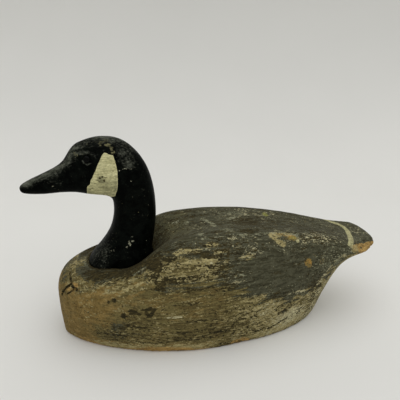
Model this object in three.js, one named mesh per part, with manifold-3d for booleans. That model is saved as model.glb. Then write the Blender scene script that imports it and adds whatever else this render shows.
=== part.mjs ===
// A full-size wooden Canada goose decoy: a flat-bottomed body carved in one piece, a head and neck carved
// in one piece and let into the top of the breast, and two domed eyes on shanks set in drilled sockets.
// Millimetres, +Z up. The bill points to -X and the tail to +X. But for one broken corner of the tail, the
// bird is symmetric about the XZ plane.
import * as THREE from "three";
import { mergeVertices } from "three/addons/utils/BufferGeometryUtils.js";
import Module from "manifold-3d";

const wasm = await Module();
wasm.setup();

// Driving dimensions of the body.
const bodyLength = 553;
const bodyWidth = 220;
const backHeight = 179;
const undersideEdgeRound = 5;

// The tail's left corner is broken away along one sloping face.
const tailBreakFromTip = 29;
const tailBreakFromMiddle = 40;
const tailBreakHeading = 40; // degrees from the bird's length, seen from above
const tailBreakSlope = 55; // degrees from level

// Driving dimensions of the head and neck.
const headLength = 202; // from the tip of the bill to the back of the neck
const headHeight = 203; // from the breast at the neck to the crown
const neckFootWidth = 83;
const neckSetback = 54; // from the front of the breast to the front of the neck
const neckSeatDepth = 5; // how deep the foot of the neck is let into the breast
const jointGap = 0.3;

// Driving dimensions of an eye: a dome on a shank, with a hidden collar that sinks into the socket.
const eyeDiameter = 10;
const eyeDome = 2.4;
const eyeCollar = 3;
const eyeShankDiameter = 3;
const eyeShankLength = 9;
const eyeSideShare = 0.512; // of the head's length, back from the bill
const eyeHeightShare = 0.862; // of the head's height, up from the breast

// How finely the carving is cut into facets.
const bodyStations = 64;
const undersideSteps = 2;
const edgeSteps = 3;
const lowerSideSteps = 4;
const upperSideSteps = 8;
const backSteps = 5;
const headRibSteps = 2;
const headSides = 28;
const eyeSides = 24;

// A fair curve through [place, value] points that swells nowhere past them.
function fairCurve(points) {
  const last = points.length - 1;
  const run = (i) => points[i + 1][0] - points[i][0];
  const slope = (i) => (points[i + 1][1] - points[i][1]) / run(i);
  const tangents = points.map((_, i) => {
    if (i === 0 || i === last) return slope(Math.min(i, last - 1));
    if (slope(i - 1) * slope(i) <= 0) return 0;
    const before = run(i - 1) + 2 * run(i);
    const after = 2 * run(i - 1) + run(i);
    return (before + after) / (before / slope(i - 1) + after / slope(i));
  });
  return (place) => {
    let i = 0;
    while (i < last - 1 && place > points[i + 1][0]) i++;
    const t = (place - points[i][0]) / run(i);
    const fromStart = points[i][1] * (1 + 2 * t) * (1 - t) ** 2 + tangents[i] * run(i) * t * (1 - t) ** 2;
    const fromEnd = points[i + 1][1] * (3 - 2 * t) * t ** 2 - tangents[i + 1] * run(i) * (1 - t) * t ** 2;
    return fromStart + fromEnd;
  };
}

// Stations along the body bunch up towards its two ends, so that an outline which runs straight to nothing
// over its stations closes there as roundly as an arc.
const shareAtStation = (station) => (1 - Math.cos(Math.PI * station)) / 2;
const stationAtShare = (share) => Math.acos(1 - 2 * share) / Math.PI;
const outline = (points) => fairCurve(points.map(([share, value]) => [stationAtShare(share), value]));

// The carver's patterns for the body. Each point is a share of the body's length from the front of the
// breast, then a share of the body's half width or of the back's height.
const bodyPatterns = {
  undersideHalfWidth: outline([
    [0, 0], [0.032, 0.3], [0.091, 0.515], [0.172, 0.705], [0.284, 0.868], [0.397, 0.938], [0.457, 0.928],
    [0.519, 0.884], [0.581, 0.848], [0.652, 0.762], [0.731, 0.594], [0.763, 0.484], [0.793, 0.33],
    [0.824, 0.17], [0.87, 0.1], [0.93, 0.16], [0.975, 0.2], [1, 0],
  ]),
  widestHalfWidth: outline([
    [0, 0], [0.032, 0.4], [0.091, 0.64], [0.172, 0.82], [0.284, 0.955], [0.395, 1], [0.52, 0.965],
    [0.647, 0.84], [0.731, 0.71], [0.788, 0.62], [0.859, 0.54], [0.901, 0.518], [0.937, 0.5], [0.964, 0.478],
    [0.978, 0.455], [0.989, 0.41], [0.9965, 0.3], [1, 0],
  ]),
  widestHeight: outline([
    [0, 0.4], [0.1, 0.36], [0.395, 0.35], [0.647, 0.42], [0.788, 0.57], [0.859, 0.65], [0.93, 0.69],
    [0.97, 0.68], [1, 0.66],
  ]),
  lowerSideStraightness: outline([[0, 0], [0.7, 0], [0.82, 0.35], [0.87, 0.8], [0.93, 0.6], [1, 0]]),
  crestHalfSpread: outline([
    [0, 0], [0.03, 0.2], [0.11, 0.43], [0.2, 0.54], [0.283, 0.57], [0.374, 0.51], [0.465, 0.473],
    [0.647, 0.44], [0.788, 0.41], [0.88, 0.4], [0.93, 0.43], [0.965, 0.42], [0.988, 0.3], [1, 0],
  ]),
  crestHeight: outline([
    [0, 0.4], [0.01, 0.55], [0.04, 0.632], [0.11, 0.689], [0.18, 0.723], [0.243, 0.8], [0.303, 0.925],
    [0.374, 0.983], [0.465, 1], [0.556, 0.99], [0.647, 0.958], [0.738, 0.906], [0.835, 0.829], [0.91, 0.769],
    [0.945, 0.75], [0.975, 0.737], [0.99, 0.72], [1, 0.66],
  ]),
  valleyHeight: outline([
    [0, 0.4], [0.01, 0.56], [0.04, 0.65], [0.11, 0.701], [0.18, 0.708], [0.243, 0.708], [0.283, 0.76],
    [0.334, 0.875], [0.394, 0.943], [0.465, 0.968], [0.556, 0.963], [0.647, 0.935], [0.738, 0.887],
    [0.835, 0.816], [0.91, 0.761], [0.945, 0.743], [0.975, 0.73], [0.99, 0.715], [1, 0.66],
  ]),
  keelHeight: outline([
    [0, 0.4], [0.003, 0.16], [0.01, 0], [0.803, 0], [0.834, 0.155], [0.869, 0.37], [0.895, 0.485],
    [0.93, 0.575], [0.968, 0.625], [1, 0.66],
  ]),
};

// The rounded edge of the underside takes up no more than this share of the lower side's height.
const mostEdgeShare = 0.3;

// Half of the body's section at a station, as [offset from the middle, height] points from the keel up to
// the back.
function bodyHalfSection(station) {
  const across = (name) => Math.max((bodyPatterns[name](station) * bodyWidth) / 2, 0);
  const up = (name) => Math.max(bodyPatterns[name](station) * backHeight, 0);
  const bottom = across("undersideHalfWidth");
  const widest = Math.max(across("widestHalfWidth"), bottom);
  const crest = Math.min(across("crestHalfSpread"), widest);
  const keel = up("keelHeight");
  const widestAt = up("widestHeight");
  const crestAt = up("crestHeight");
  const valleyAt = up("valleyHeight");
  const straightness = bodyPatterns.lowerSideStraightness(station);
  const lowerSide = (rise) => {
    const flare = THREE.MathUtils.lerp(Math.sin((Math.PI / 2) * rise), rise, straightness);
    return [bottom + (widest - bottom) * flare, keel + (widestAt - keel) * rise];
  };

  // The edge of the flat underside is a small round. It opens out into a round keel where the keel rises.
  const edgeRound = Math.min(undersideEdgeRound + keel / 2, bottom);
  const edgeTop = Math.min(edgeRound / (widestAt - keel), mostEdgeShare);
  const edge = new THREE.QuadraticBezierCurve(
    new THREE.Vector2(bottom - edgeRound, keel),
    new THREE.Vector2(bottom, keel),
    new THREE.Vector2(...lowerSide(edgeTop)),
  );
  const section = [];
  for (let i = 0; i < undersideSteps; i++) {
    section.push([((bottom - edgeRound) * i) / undersideSteps, keel]);
  }
  section.push(...edge.getPoints(edgeSteps).map((point) => point.toArray()));
  for (let i = 1; i <= lowerSideSteps; i++) {
    section.push(lowerSide(edgeTop + ((1 - edgeTop) * i) / lowerSideSteps));
  }
  for (let i = 1; i <= upperSideSteps; i++) {
    const turn = (Math.PI / 2) * (i / upperSideSteps);
    const offset = crest + (widest - crest) * Math.cos(turn);
    section.push([offset, widestAt + (crestAt - widestAt) * Math.sin(turn)]);
  }
  for (let i = 1; i <= backSteps; i++) {
    const inward = i / backSteps;
    const swell = (1 + Math.cos(Math.PI * inward)) / 2;
    section.push([crest * (1 - inward), valleyAt + (crestAt - valleyAt) * swell]);
  }
  return section;
}

// Skins a row of rings whose points are in step with each other. A ring of one point closes that end to a
// point, and any other end ring is closed by a flat fan.
function skin(rings) {
  const points = rings.flat();
  const faces = [];
  const starts = [];
  rings.reduce((start, ring) => {
    starts.push(start);
    return start + ring.length;
  }, 0);
  for (let r = 0; r + 1 < rings.length; r++) {
    const sides = Math.max(rings[r].length, rings[r + 1].length);
    const corner = (ring, side) => starts[ring] + (rings[ring].length === 1 ? 0 : side % sides);
    for (let i = 0; i < sides; i++) {
      if (rings[r].length > 1) faces.push(corner(r, i), corner(r + 1, i), corner(r, i + 1));
      if (rings[r + 1].length > 1) faces.push(corner(r, i + 1), corner(r + 1, i), corner(r + 1, i + 1));
    }
  }
  const lastRing = rings.length - 1;
  for (let i = 1; i + 1 < rings[0].length; i++) faces.push(starts[0], starts[0] + i, starts[0] + i + 1);
  for (let i = 1; i + 1 < rings[lastRing].length; i++) {
    faces.push(starts[lastRing], starts[lastRing] + i + 1, starts[lastRing] + i);
  }
  return new THREE.BufferGeometry().setFromPoints(points).setIndex(faces);
}

// The body's carved form before the neck is let in, with the front of the breast at x = 0.
function bodyForm() {
  const endPoint = (station) => {
    const height = bodyPatterns.keelHeight(station) * backHeight;
    return [new THREE.Vector3(shareAtStation(station) * bodyLength, 0, height)];
  };
  const rings = [endPoint(0)];
  for (let i = 1; i < bodyStations; i++) {
    const x = shareAtStation(i / bodyStations) * bodyLength;
    const section = bodyHalfSection(i / bodyStations);
    const left = section.map(([offset, z]) => new THREE.Vector3(x, -offset, z));
    const right = section.slice(1, -1).reverse().map(([offset, z]) => new THREE.Vector3(x, offset, z));
    rings.push([...left, ...right]);
  }
  rings.push(endPoint(1));
  return skin(rings);
}

// A block that fills the lost corner of the tail and reaches out beyond it.
function tailBreak() {
  const heading = THREE.MathUtils.degToRad(tailBreakHeading);
  const slope = THREE.MathUtils.degToRad(tailBreakSlope);
  const outward = new THREE.Vector3(Math.sin(heading), -Math.cos(heading), 0);
  outward.multiplyScalar(Math.sin(slope)).setZ(Math.cos(slope));
  const onFace = new THREE.Vector3(bodyLength - tailBreakFromTip, -tailBreakFromMiddle, 0);
  onFace.z = bodyPatterns.keelHeight(1) * backHeight;
  const block = new THREE.BoxGeometry(bodyWidth, bodyWidth, bodyWidth).translate(0, 0, bodyWidth / 2);
  const turn = new THREE.Quaternion().setFromUnitVectors(new THREE.Vector3(0, 0, 1), outward);
  return block.applyQuaternion(turn).translate(...onFace);
}

// Ribs of the head and neck from the tip of the bill down to the breast. The crown and the throat are the
// two ends of a rib in the side view, as shares of the head's length back from the bill and of its height up
// from the breast. The half width is a share of the neck foot's half width. The cheek says how much wider
// than that the rib is on its throat side, and how much narrower on its crown side.
const headRibs = [
  { crown: [0, 0.638], throat: [0, 0.638], halfWidth: 0, cheek: 0 },
  { crown: [0.004, 0.648], throat: [0.003, 0.622], halfWidth: 0.11, cheek: 0 },
  { crown: [0.02, 0.664], throat: [0.017, 0.598], halfWidth: 0.215, cheek: 0 },
  { crown: [0.094, 0.702], throat: [0.096, 0.584], halfWidth: 0.3, cheek: 0 },
  { crown: [0.184, 0.741], throat: [0.188, 0.581], halfWidth: 0.348, cheek: 0.02 },
  { crown: [0.275, 0.785], throat: [0.292, 0.588], halfWidth: 0.41, cheek: 0.06 },
  { crown: [0.33, 0.828], throat: [0.379, 0.587], halfWidth: 0.494, cheek: 0.1 },
  { crown: [0.373, 0.892], throat: [0.444, 0.578], halfWidth: 0.578, cheek: 0.13 },
  { crown: [0.421, 0.946], throat: [0.501, 0.565], halfWidth: 0.658, cheek: 0.15 },
  { crown: [0.509, 0.981], throat: [0.554, 0.557], halfWidth: 0.713, cheek: 0.15 },
  { crown: [0.595, 0.998], throat: [0.591, 0.552], halfWidth: 0.742, cheek: 0.13 },
  { crown: [0.688, 0.993], throat: [0.615, 0.546], halfWidth: 0.747, cheek: 0.1 },
  { crown: [0.783, 0.956], throat: [0.638, 0.538], halfWidth: 0.737, cheek: 0.07 },
  { crown: [0.869, 0.876], throat: [0.655, 0.525], halfWidth: 0.718, cheek: 0.04 },
  { crown: [0.936, 0.77], throat: [0.665, 0.504], halfWidth: 0.696, cheek: 0.02 },
  { crown: [0.975, 0.648], throat: [0.669, 0.473], halfWidth: 0.682, cheek: 0 },
  { crown: [0.993, 0.526], throat: [0.669, 0.432], halfWidth: 0.68, cheek: 0 },
  { crown: [0.997, 0.414], throat: [0.663, 0.38], halfWidth: 0.694, cheek: 0 },
  { crown: [0.993, 0.336], throat: [0.648, 0.316], halfWidth: 0.723, cheek: 0 },
  { crown: [0.984, 0.264], throat: [0.624, 0.254], halfWidth: 0.766, cheek: 0 },
  { crown: [0.973, 0.193], throat: [0.586, 0.19], halfWidth: 0.831, cheek: 0 },
  { crown: [0.961, 0.125], throat: [0.536, 0.125], halfWidth: 0.9, cheek: 0 },
  { crown: [0.948, 0.058], throat: [0.48, 0.058], halfWidth: 0.965, cheek: 0 },
  { crown: [0.938, 0], throat: [0.44, 0], halfWidth: 1, cheek: 0 },
];
const lastHeadRib = headRibs.length - 1;
const footRibs = 5; // how many of the last ribs make the spreading foot of the neck
const billTipX = neckSetback - headRibs[lastHeadRib].throat[0] * headLength;
const breastHeight = bodyPatterns.valleyHeight(stationAtShare(neckSetback / bodyLength)) * backHeight;
const headPlace = (x, z) => new THREE.Vector3(billTipX + x * headLength, 0, breastHeight + z * headHeight);
const ribCurve = (pick) => fairCurve(headRibs.map((rib, i) => [i, pick(rib)]));
const headCurves = {
  crownX: ribCurve((rib) => rib.crown[0]),
  crownZ: ribCurve((rib) => rib.crown[1]),
  throatX: ribCurve((rib) => rib.throat[0]),
  throatZ: ribCurve((rib) => rib.throat[1]),
  halfWidth: ribCurve((rib) => rib.halfWidth),
  cheek: ribCurve((rib) => rib.cheek),
};

// How round a rib's section is: 1 is an ellipse, and less is fuller at the corners.
const sectionRoundness = 0.88;
const fuller = (value) => Math.sign(value) * Math.abs(value) ** sectionRoundness;

// A ring of points round a rib of the head, let out by grow, from the crown over the right side.
function headRing(rib, grow) {
  const crown = headPlace(headCurves.crownX(rib), headCurves.crownZ(rib));
  const throat = headPlace(headCurves.throatX(rib), headCurves.throatZ(rib));
  const middle = crown.clone().add(throat).divideScalar(2);
  const reach = crown.clone().sub(middle);
  reach.setLength(reach.length() + grow);
  const halfWidth = (headCurves.halfWidth(rib) * neckFootWidth) / 2 + grow;
  const cheek = headCurves.cheek(rib);
  return Array.from({ length: headSides }, (_, side) => {
    const turn = (2 * Math.PI * side) / headSides;
    const width = halfWidth * (1 - cheek * Math.cos(turn)) * fuller(Math.sin(turn));
    return middle.clone().addScaledVector(reach, fuller(Math.cos(turn))).setY(width);
  });
}

// The head and neck from a first rib down, with a straight foot below the breast, let out by grow all round.
function headForm(firstRib, grow = 0) {
  const rings = [];
  for (let i = firstRib * headRibSteps; i <= lastHeadRib * headRibSteps; i++) {
    rings.push(i === 0 ? [headPlace(...headRibs[0].crown)] : headRing(i / headRibSteps, grow));
  }
  rings.push(rings.at(-1).map((point) => point.clone().setZ(breastHeight - neckSeatDepth - grow)));
  return skin(rings);
}

// One eye as a solid of revolution about +Z, with the head's surface at z = 0, let out by grow all round.
function eyeForm(grow = 0) {
  const radius = eyeDiameter / 2 + grow;
  const shankRadius = eyeShankDiameter / 2 + grow;
  const shankEnd = -eyeShankLength - grow;
  const collarEnd = -eyeCollar - grow;
  const profile = [[0, shankEnd], [shankRadius, shankEnd], [shankRadius, collarEnd], [radius, collarEnd]];
  const domeSteps = eyeSides / 4;
  for (let i = 0; i < domeSteps; i++) {
    const turn = (Math.PI / 2) * (i / domeSteps);
    profile.push([radius * Math.cos(turn), (eyeDome + grow) * Math.sin(turn)]);
  }
  profile.push([0, eyeDome + grow]);
  const points = profile.map(([r, z]) => new THREE.Vector2(r, z));
  return new THREE.LatheGeometry(points, eyeSides).rotateX(Math.PI / 2);
}

// A closed geometry as a solid for cutting, and a solid back as a geometry.
function toSolid(geometry) {
  const bare = geometry.clone();
  bare.deleteAttribute("normal");
  bare.deleteAttribute("uv");
  const merged = mergeVertices(bare, 1e-4);
  const vertProperties = new Float32Array(merged.attributes.position.array);
  const triVerts = new Uint32Array(merged.index.array);
  return new wasm.Manifold(new wasm.Mesh({ numProp: 3, vertProperties, triVerts }));
}
function toGeometry(solid) {
  const { vertProperties, triVerts } = solid.getMesh();
  const geometry = new THREE.BufferGeometry();
  geometry.setAttribute("position", new THREE.BufferAttribute(vertProperties, 3));
  geometry.setIndex(new THREE.BufferAttribute(triVerts, 1));
  geometry.computeVertexNormals();
  return geometry;
}

// Where each eye sits: on the side of the head, square to its surface there.
function eyeSeat(head, side) {
  const place = headPlace(eyeSideShare, eyeHeightShare).setY(side * neckFootWidth);
  const sight = new THREE.Raycaster(place, new THREE.Vector3(0, -side, 0));
  const { point, face } = sight.intersectObject(new THREE.Mesh(head))[0];
  const turn = new THREE.Quaternion().setFromUnitVectors(new THREE.Vector3(0, 0, 1), face.normal);
  return new THREE.Matrix4().compose(point, turn, new THREE.Vector3(1, 1, 1));
}

const paint = {
  body: new THREE.MeshStandardMaterial({ color: 0x6a6450, roughness: 0.75, metalness: 0 }),
  head: new THREE.MeshStandardMaterial({ color: 0x161a17, roughness: 0.42, metalness: 0 }),
  eye: new THREE.MeshStandardMaterial({ color: 0x0b0c0a, roughness: 0.2, metalness: 0 }),
};
const goose = new THREE.Group();
const addPiece = (name, geometry, material) => {
  const piece = new THREE.Mesh(geometry, material);
  piece.name = name;
  goose.add(piece);
};

const neckHole = toSolid(headForm(lastHeadRib - footRibs, jointGap));
const carvedBody = toSolid(bodyForm()).subtract(neckHole).subtract(toSolid(tailBreak()));
addPiece("body", toGeometry(carvedBody), paint.body);

const headSolid = headForm(0);
let carvedHead = toSolid(headSolid);
for (const [name, side] of [["eye_left", -1], ["eye_right", 1]]) {
  const seat = eyeSeat(headSolid, side);
  carvedHead = carvedHead.subtract(toSolid(eyeForm(jointGap).applyMatrix4(seat)));
  addPiece(name, eyeForm().applyMatrix4(seat), paint.eye);
}
addPiece("head_and_neck", toGeometry(carvedHead), paint.head);

// The bird stands over the middle of its overall length.
const bounds = new THREE.Box3().setFromObject(goose);
goose.position.x = -(bounds.min.x + bounds.max.x) / 2;

export default goose;
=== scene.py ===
"""A carved wooden goose decoy in worn field paint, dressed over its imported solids.

Places and sizes are millimetres in the decoy's own frame: the bill points to -X, the tail to +X, the bird's
left side is -Y, and it stands on z = 0. Meshes are metres, as Blender keeps them.
"""
import logging
import math
from dataclasses import dataclass, field
from enum import Enum

import bmesh
import bpy
import numpy as np
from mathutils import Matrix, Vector
from mathutils.bvhtree import BVHTree


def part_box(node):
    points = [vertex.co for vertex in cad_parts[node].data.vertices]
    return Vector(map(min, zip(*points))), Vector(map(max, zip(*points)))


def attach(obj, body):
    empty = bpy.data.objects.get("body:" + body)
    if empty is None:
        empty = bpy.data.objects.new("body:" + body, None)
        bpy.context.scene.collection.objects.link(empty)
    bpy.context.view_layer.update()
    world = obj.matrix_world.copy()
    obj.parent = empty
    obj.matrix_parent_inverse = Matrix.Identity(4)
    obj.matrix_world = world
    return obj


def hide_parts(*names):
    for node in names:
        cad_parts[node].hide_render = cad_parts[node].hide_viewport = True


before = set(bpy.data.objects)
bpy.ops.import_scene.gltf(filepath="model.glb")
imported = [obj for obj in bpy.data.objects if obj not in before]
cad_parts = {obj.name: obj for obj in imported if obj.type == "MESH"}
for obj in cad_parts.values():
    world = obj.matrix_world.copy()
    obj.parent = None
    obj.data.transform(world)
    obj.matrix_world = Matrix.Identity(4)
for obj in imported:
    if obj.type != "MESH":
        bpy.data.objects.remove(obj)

log = logging.getLogger("goose")

MM = 0.001
# Corners of the solids' loose triangles that are nearer than this are one corner.
WELD = 0.01 * MM
Point = tuple[float, float, float]
Shades = tuple[str, str]


def linear(hex_colour: str) -> tuple[float, float, float, float]:
    """Turns an sRGB hex colour to the linear one that a shader takes.

    Args:
        hex_colour: six hex digits, such as "8f8258".

    Returns:
        Red, green, blue and an alpha of 1.
    """
    shares = [int(hex_colour[i : i + 2], 16) / 255 for i in (0, 2, 4)]
    lit = [s / 12.92 if s <= 0.04045 else ((s + 0.055) / 1.055) ** 2.4 for s in shares]
    return (lit[0], lit[1], lit[2], 1.0)


def smoothstep(low: float, high: float, value: np.ndarray) -> np.ndarray:
    """Rises from 0 at low to 1 at high, level at both ends."""
    share = np.clip((value - low) / (high - low), 0.0, 1.0)
    return share * share * (3.0 - 2.0 * share)


def distance_to_path(points: np.ndarray, path: tuple[Point, ...]) -> np.ndarray:
    """Measures how far each point is from a path of straight stretches.

    Args:
        points: places, one a row.
        path: the path's corners in order.

    Returns:
        The distance of each place to the nearest stretch.
    """
    nearest = np.full(len(points), np.inf)
    for start, end in zip(np.array(path[:-1]), np.array(path[1:])):
        stretch = end - start
        share = np.clip((points - start) @ stretch / (stretch @ stretch), 0.0, 1.0)
        gap = np.linalg.norm(points - start - share[:, None] * stretch, axis=1)
        nearest = np.minimum(nearest, gap)
    return nearest


@dataclass(frozen=True)
class Unevenness:
    """Smooth seeded noise in space, from about -1 to 1.

    Attributes:
        cell: how far apart its swells are along each axis.
        seed: sets where they fall.
        octaves: how many sizes of swell it has, each half the size of the one before.
    """

    cell: Point
    seed: int
    octaves: int = 1

    def _corner(self, cells: np.ndarray, octave: int) -> np.ndarray:
        """Gives each lattice corner its own value from -1 to 1.

        Args:
            cells: the corners' whole-number places.
            octave: which of the finer sizes they belong to.

        Returns:
            One value a corner.
        """
        mixed = cells.astype(np.int64) @ np.array([73856093, 19349663, 83492791])
        mixed = (mixed + self.seed * 6271 + octave * 9973) & 0xFFFFFFFF
        mixed = ((mixed ^ (mixed >> 15)) * 2246822519) & 0xFFFFFFFF
        mixed = ((mixed ^ (mixed >> 13)) * 3266489917) & 0xFFFFFFFF
        return (mixed ^ (mixed >> 16)) / 0x7FFFFFFF - 1.0

    def at(self, points: np.ndarray) -> np.ndarray:
        """Reads the noise at each place.

        Args:
            points: places, one a row.

        Returns:
            One value a place.
        """
        total = np.zeros(len(points))
        for octave in range(self.octaves):
            scaled = points / np.array(self.cell) * 2**octave
            base = np.floor(scaled)
            share = scaled - base
            share = share * share * (3.0 - 2.0 * share)
            for step in np.ndindex(2, 2, 2):
                weight = np.prod(np.where(step, share, 1.0 - share), axis=1)
                total += weight * self._corner(base + step, octave) / 2**octave
        return total


class Layer(Enum):
    """The layers of paint and wear, some of which also carry painted sheen, highlights and shade. Each one's
    cover of the surface is kept in the attribute of its value.
    """

    FIELD = "field_cover"
    EARTH = "earth_cover"
    # Slate paint on the body. On the head this layer is a painted shade film over the lower cheek, and the
    # grey of a chip.
    SLATE_AND_SHADE = "slate_and_shade_cover"
    TAN = "tan_cover"
    PALE = "pale_cover"
    STRIPE = "stripe_cover"
    BLACK = "black_cover"
    CHEEK = "cheek_cover"
    # Dust on the body. On the head this layer is mostly painted sheen and highlights, with some rubbed wear.
    DUST_AND_SHEEN = "dust_and_sheen_cover"
    # Scuffs, and painted highlights: along the crest of the back, and a glint on the lid.
    SCUFF_AND_HIGHLIGHT = "scuff_and_highlight_cover"
    OCHRE = "ochre_cover"
    MOSS = "moss_cover"
    # Grime, and painted shade: in the back's hollow, round the foot of the neck and inside the check.
    GRIME_AND_SHADE = "grime_and_shade_cover"
    BARE = "bare_cover"


class Zone(Enum):
    """The parts of the body that are each worn in their own way."""

    RING = "ring round the neck"
    STERN = "stern"
    BREAST_TOP = "top of the breast"
    SHOULDER = "shoulder"
    BACK = "back"
    REAR_SIDE = "rear of the side"
    SIDE = "side"
    BREAST = "breast"
    REAR_LOW = "rear of the flank"
    LOW_FLANK = "lower flank"
    FLANK = "flank"


@dataclass(frozen=True)
class Patch:
    """A soft-edged patch of paint or wear, as an ellipsoid set on the surface.

    Attributes:
        centre: its middle.
        reach: how far it goes along each axis.
        amount: what it adds to its layer's cover, below zero where it takes some away.
    """

    centre: Point
    reach: Point
    amount: float

    def cover(self, points: np.ndarray) -> np.ndarray:
        """Gives what the patch adds at each place."""
        far = (((points - np.array(self.centre)) / np.array(self.reach)) ** 2).sum(axis=1)
        return self.amount * np.exp(-(far**2))


@dataclass(frozen=True)
class Stroke:
    """A drawn, rubbed or scratched line along a path.

    Attributes:
        path: its corners in order.
        width: its full width.
        amount: what it adds to its layer's cover, below zero where it takes some away.
    """

    path: tuple[Point, ...]
    width: float
    amount: float

    def cover(self, points: np.ndarray) -> np.ndarray:
        """Gives what the stroke adds at each place."""
        return self.amount * np.exp(-((distance_to_path(points, self.path) / (self.width / 2)) ** 4))


Marks = dict[Layer, tuple[Patch | Stroke, ...]]


class Cut(Enum):
    """The section of a cut: a sharp split, or a rounded groove or bead."""

    SPLIT = "split"
    ROUND = "round"


@dataclass(frozen=True)
class Groove:
    """A line cut into the wood, or raised from it.

    Attributes:
        path: its corners in order.
        width: its full width.
        depth: how deep it is in the middle, below zero where it is raised.
        cut: its section.
    """

    path: tuple[Point, ...]
    width: float
    depth: float
    cut: Cut = Cut.ROUND

    def relief(self, points: np.ndarray) -> np.ndarray:
        """Measures how far the groove raises the surface.

        Args:
            points: places, one a row.

        Returns:
            The rise at each place, below zero in a groove.
        """
        away = distance_to_path(points, self.path) / (self.width / 2)
        if self.cut is Cut.SPLIT:
            return -self.depth * np.clip(1.0 - away, 0.0, 1.0)
        return -self.depth * np.exp(-(away**2))


def add_node(
    tree: bpy.types.NodeTree, kind: str, links: dict[str | int, object] | None = None, **settings: object
) -> bpy.types.Node:
    """Adds a node to a tree with its settings and links.

    Args:
        tree: the node tree.
        kind: the node's type name.
        links: for each input, by name or number, the socket it is fed from or the value it holds.
        **settings: the node's own properties.

    Returns:
        The new node.
    """
    node = tree.nodes.new(kind)
    for name, value in settings.items():
        setattr(node, name, value)
    for key, value in (links or {}).items():
        if isinstance(value, bpy.types.NodeSocket):
            tree.links.new(value, node.inputs[key])
        else:
            node.inputs[key].default_value = value
    return node


def pattern(
    tree: bpy.types.NodeTree,
    cell: Point,
    detail: float = 2.0,
    shift: float = 0.0,
    spread: tuple[float, float] | None = None,
) -> bpy.types.NodeSocket:
    """Adds an uneven pattern in the object's own space.

    Args:
        tree: the material's nodes.
        cell: the size of a blotch along each axis, in millimetres.
        detail: how many finer sizes it holds.
        shift: moves it, so that two patterns of one cell differ.
        spread: the two values that a smooth ramp turns to 0 and 1, or None for no ramp.

    Returns:
        The pattern, from 0 to 1. It stays mostly near the middle where it isn't spread.
    """
    place = add_node(tree, "ShaderNodeTexCoord").outputs["Object"]
    scale = tuple(1.0 / (size * MM) for size in cell)
    mapped = add_node(tree, "ShaderNodeMapping", {"Vector": place, "Location": (shift,) * 3, "Scale": scale})
    links = {"Vector": mapped.outputs["Vector"], "Scale": 1.0, "Detail": detail, "Roughness": 0.68}
    noise = add_node(tree, "ShaderNodeTexNoise", links).outputs["Fac"]
    if spread is None:
        return noise
    links = {"Value": noise, "From Min": spread[0], "From Max": spread[1]}
    return add_node(tree, "ShaderNodeMapRange", links, interpolation_type="SMOOTHSTEP").outputs["Result"]


def new_material(name: str) -> bpy.types.Material:
    """Makes a material whose node tree is empty.

    Args:
        name: what the real material is.

    Returns:
        The material.
    """
    material = bpy.data.materials.new(name)
    material.use_nodes = True
    material.node_tree.nodes.clear()
    return material


def end_material(tree: bpy.types.NodeTree, links: dict[str | int, object]) -> None:
    """Ends a material's tree: the links feed the shader, and that feeds the output."""
    shader = add_node(tree, "ShaderNodeBsdfPrincipled", links)
    add_node(tree, "ShaderNodeOutputMaterial", {"Surface": shader.outputs["BSDF"]})


@dataclass(frozen=True)
class Surface:
    """What a material shows so far.

    Attributes:
        colour: the socket that gives its colour.
        roughness: the socket that gives how matt it is, or one value for all of it.
        height: the socket that gives how far it stands up, in millimetres.
    """

    colour: bpy.types.NodeSocket
    roughness: bpy.types.NodeSocket | float
    height: bpy.types.NodeSocket


@dataclass(frozen=True)
class Coat:
    """One coat of paint, dirt or wear, or of painted sheen or shade, laid over what is under it.

    Attributes:
        layer: whose cover says where it lies.
        shades: the two colours it varies between.
        fleck: the size of its flakes along each axis.
        ragged: how far the flakes eat into its cover. At 0 its edge is clean.
        edge: how soft the edge of a flake is.
        thickness: how far it stands up from what is under it.
        roughness: how matt it is.
        detail: how many finer sizes of flake it has.
        grit: how far the surface's fine speckle breaks its edge.
    """

    layer: Layer
    shades: Shades
    fleck: Point
    ragged: float
    edge: float
    thickness: float
    roughness: float
    detail: float = 4.0
    grit: float = 1.0

    def lay(
        self, tree: bpy.types.NodeTree, under: Surface, speckle: bpy.types.NodeSocket, shift: float
    ) -> Surface:
        """Lays the coat over a surface.

        Args:
            tree: the material's nodes.
            under: the surface so far.
            speckle: the fine speckle that all the coats share.
            shift: moves the coat's patterns, so that no two coats match.

        Returns:
            The surface with the coat on it.
        """
        cover = add_node(tree, "ShaderNodeAttribute", attribute_name=self.layer.value).outputs["Fac"]
        flakes = pattern(tree, self.fleck, self.detail, shift)
        for noise, share in ((flakes, self.ragged), (speckle, self.grit)):
            links = {0: noise, 1: share, 2: cover}
            cover = add_node(tree, "ShaderNodeMath", links, operation="MULTIPLY_ADD").outputs["Value"]
        middle = 0.5 + 0.5 * (self.ragged + self.grit)
        links = {"Value": cover, "From Min": middle - self.edge, "From Max": middle + self.edge}
        here = add_node(tree, "ShaderNodeMapRange", links, interpolation_type="SMOOTHSTEP").outputs["Result"]

        # The two shades lie in blotches a little larger than the flakes.
        tone = pattern(tree, tuple(size * 1.3 for size in self.fleck), 5.0, shift + 5.0, (0.38, 0.62))
        links = {"Factor": tone, 6: linear(self.shades[1]), 7: linear(self.shades[0])}
        paint = add_node(tree, "ShaderNodeMix", links, data_type="RGBA").outputs[2]
        links = {0: here, 6: under.colour, 7: paint}
        colour = add_node(tree, "ShaderNodeMix", links, data_type="RGBA").outputs[2]
        rough = add_node(tree, "ShaderNodeMix", {0: here, 2: under.roughness, 3: self.roughness}).outputs[0]
        links = {0: here, 1: self.thickness, 2: under.height}
        height = add_node(tree, "ShaderNodeMath", links, operation="MULTIPLY_ADD").outputs["Value"]
        return Surface(colour, rough, height)


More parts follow.
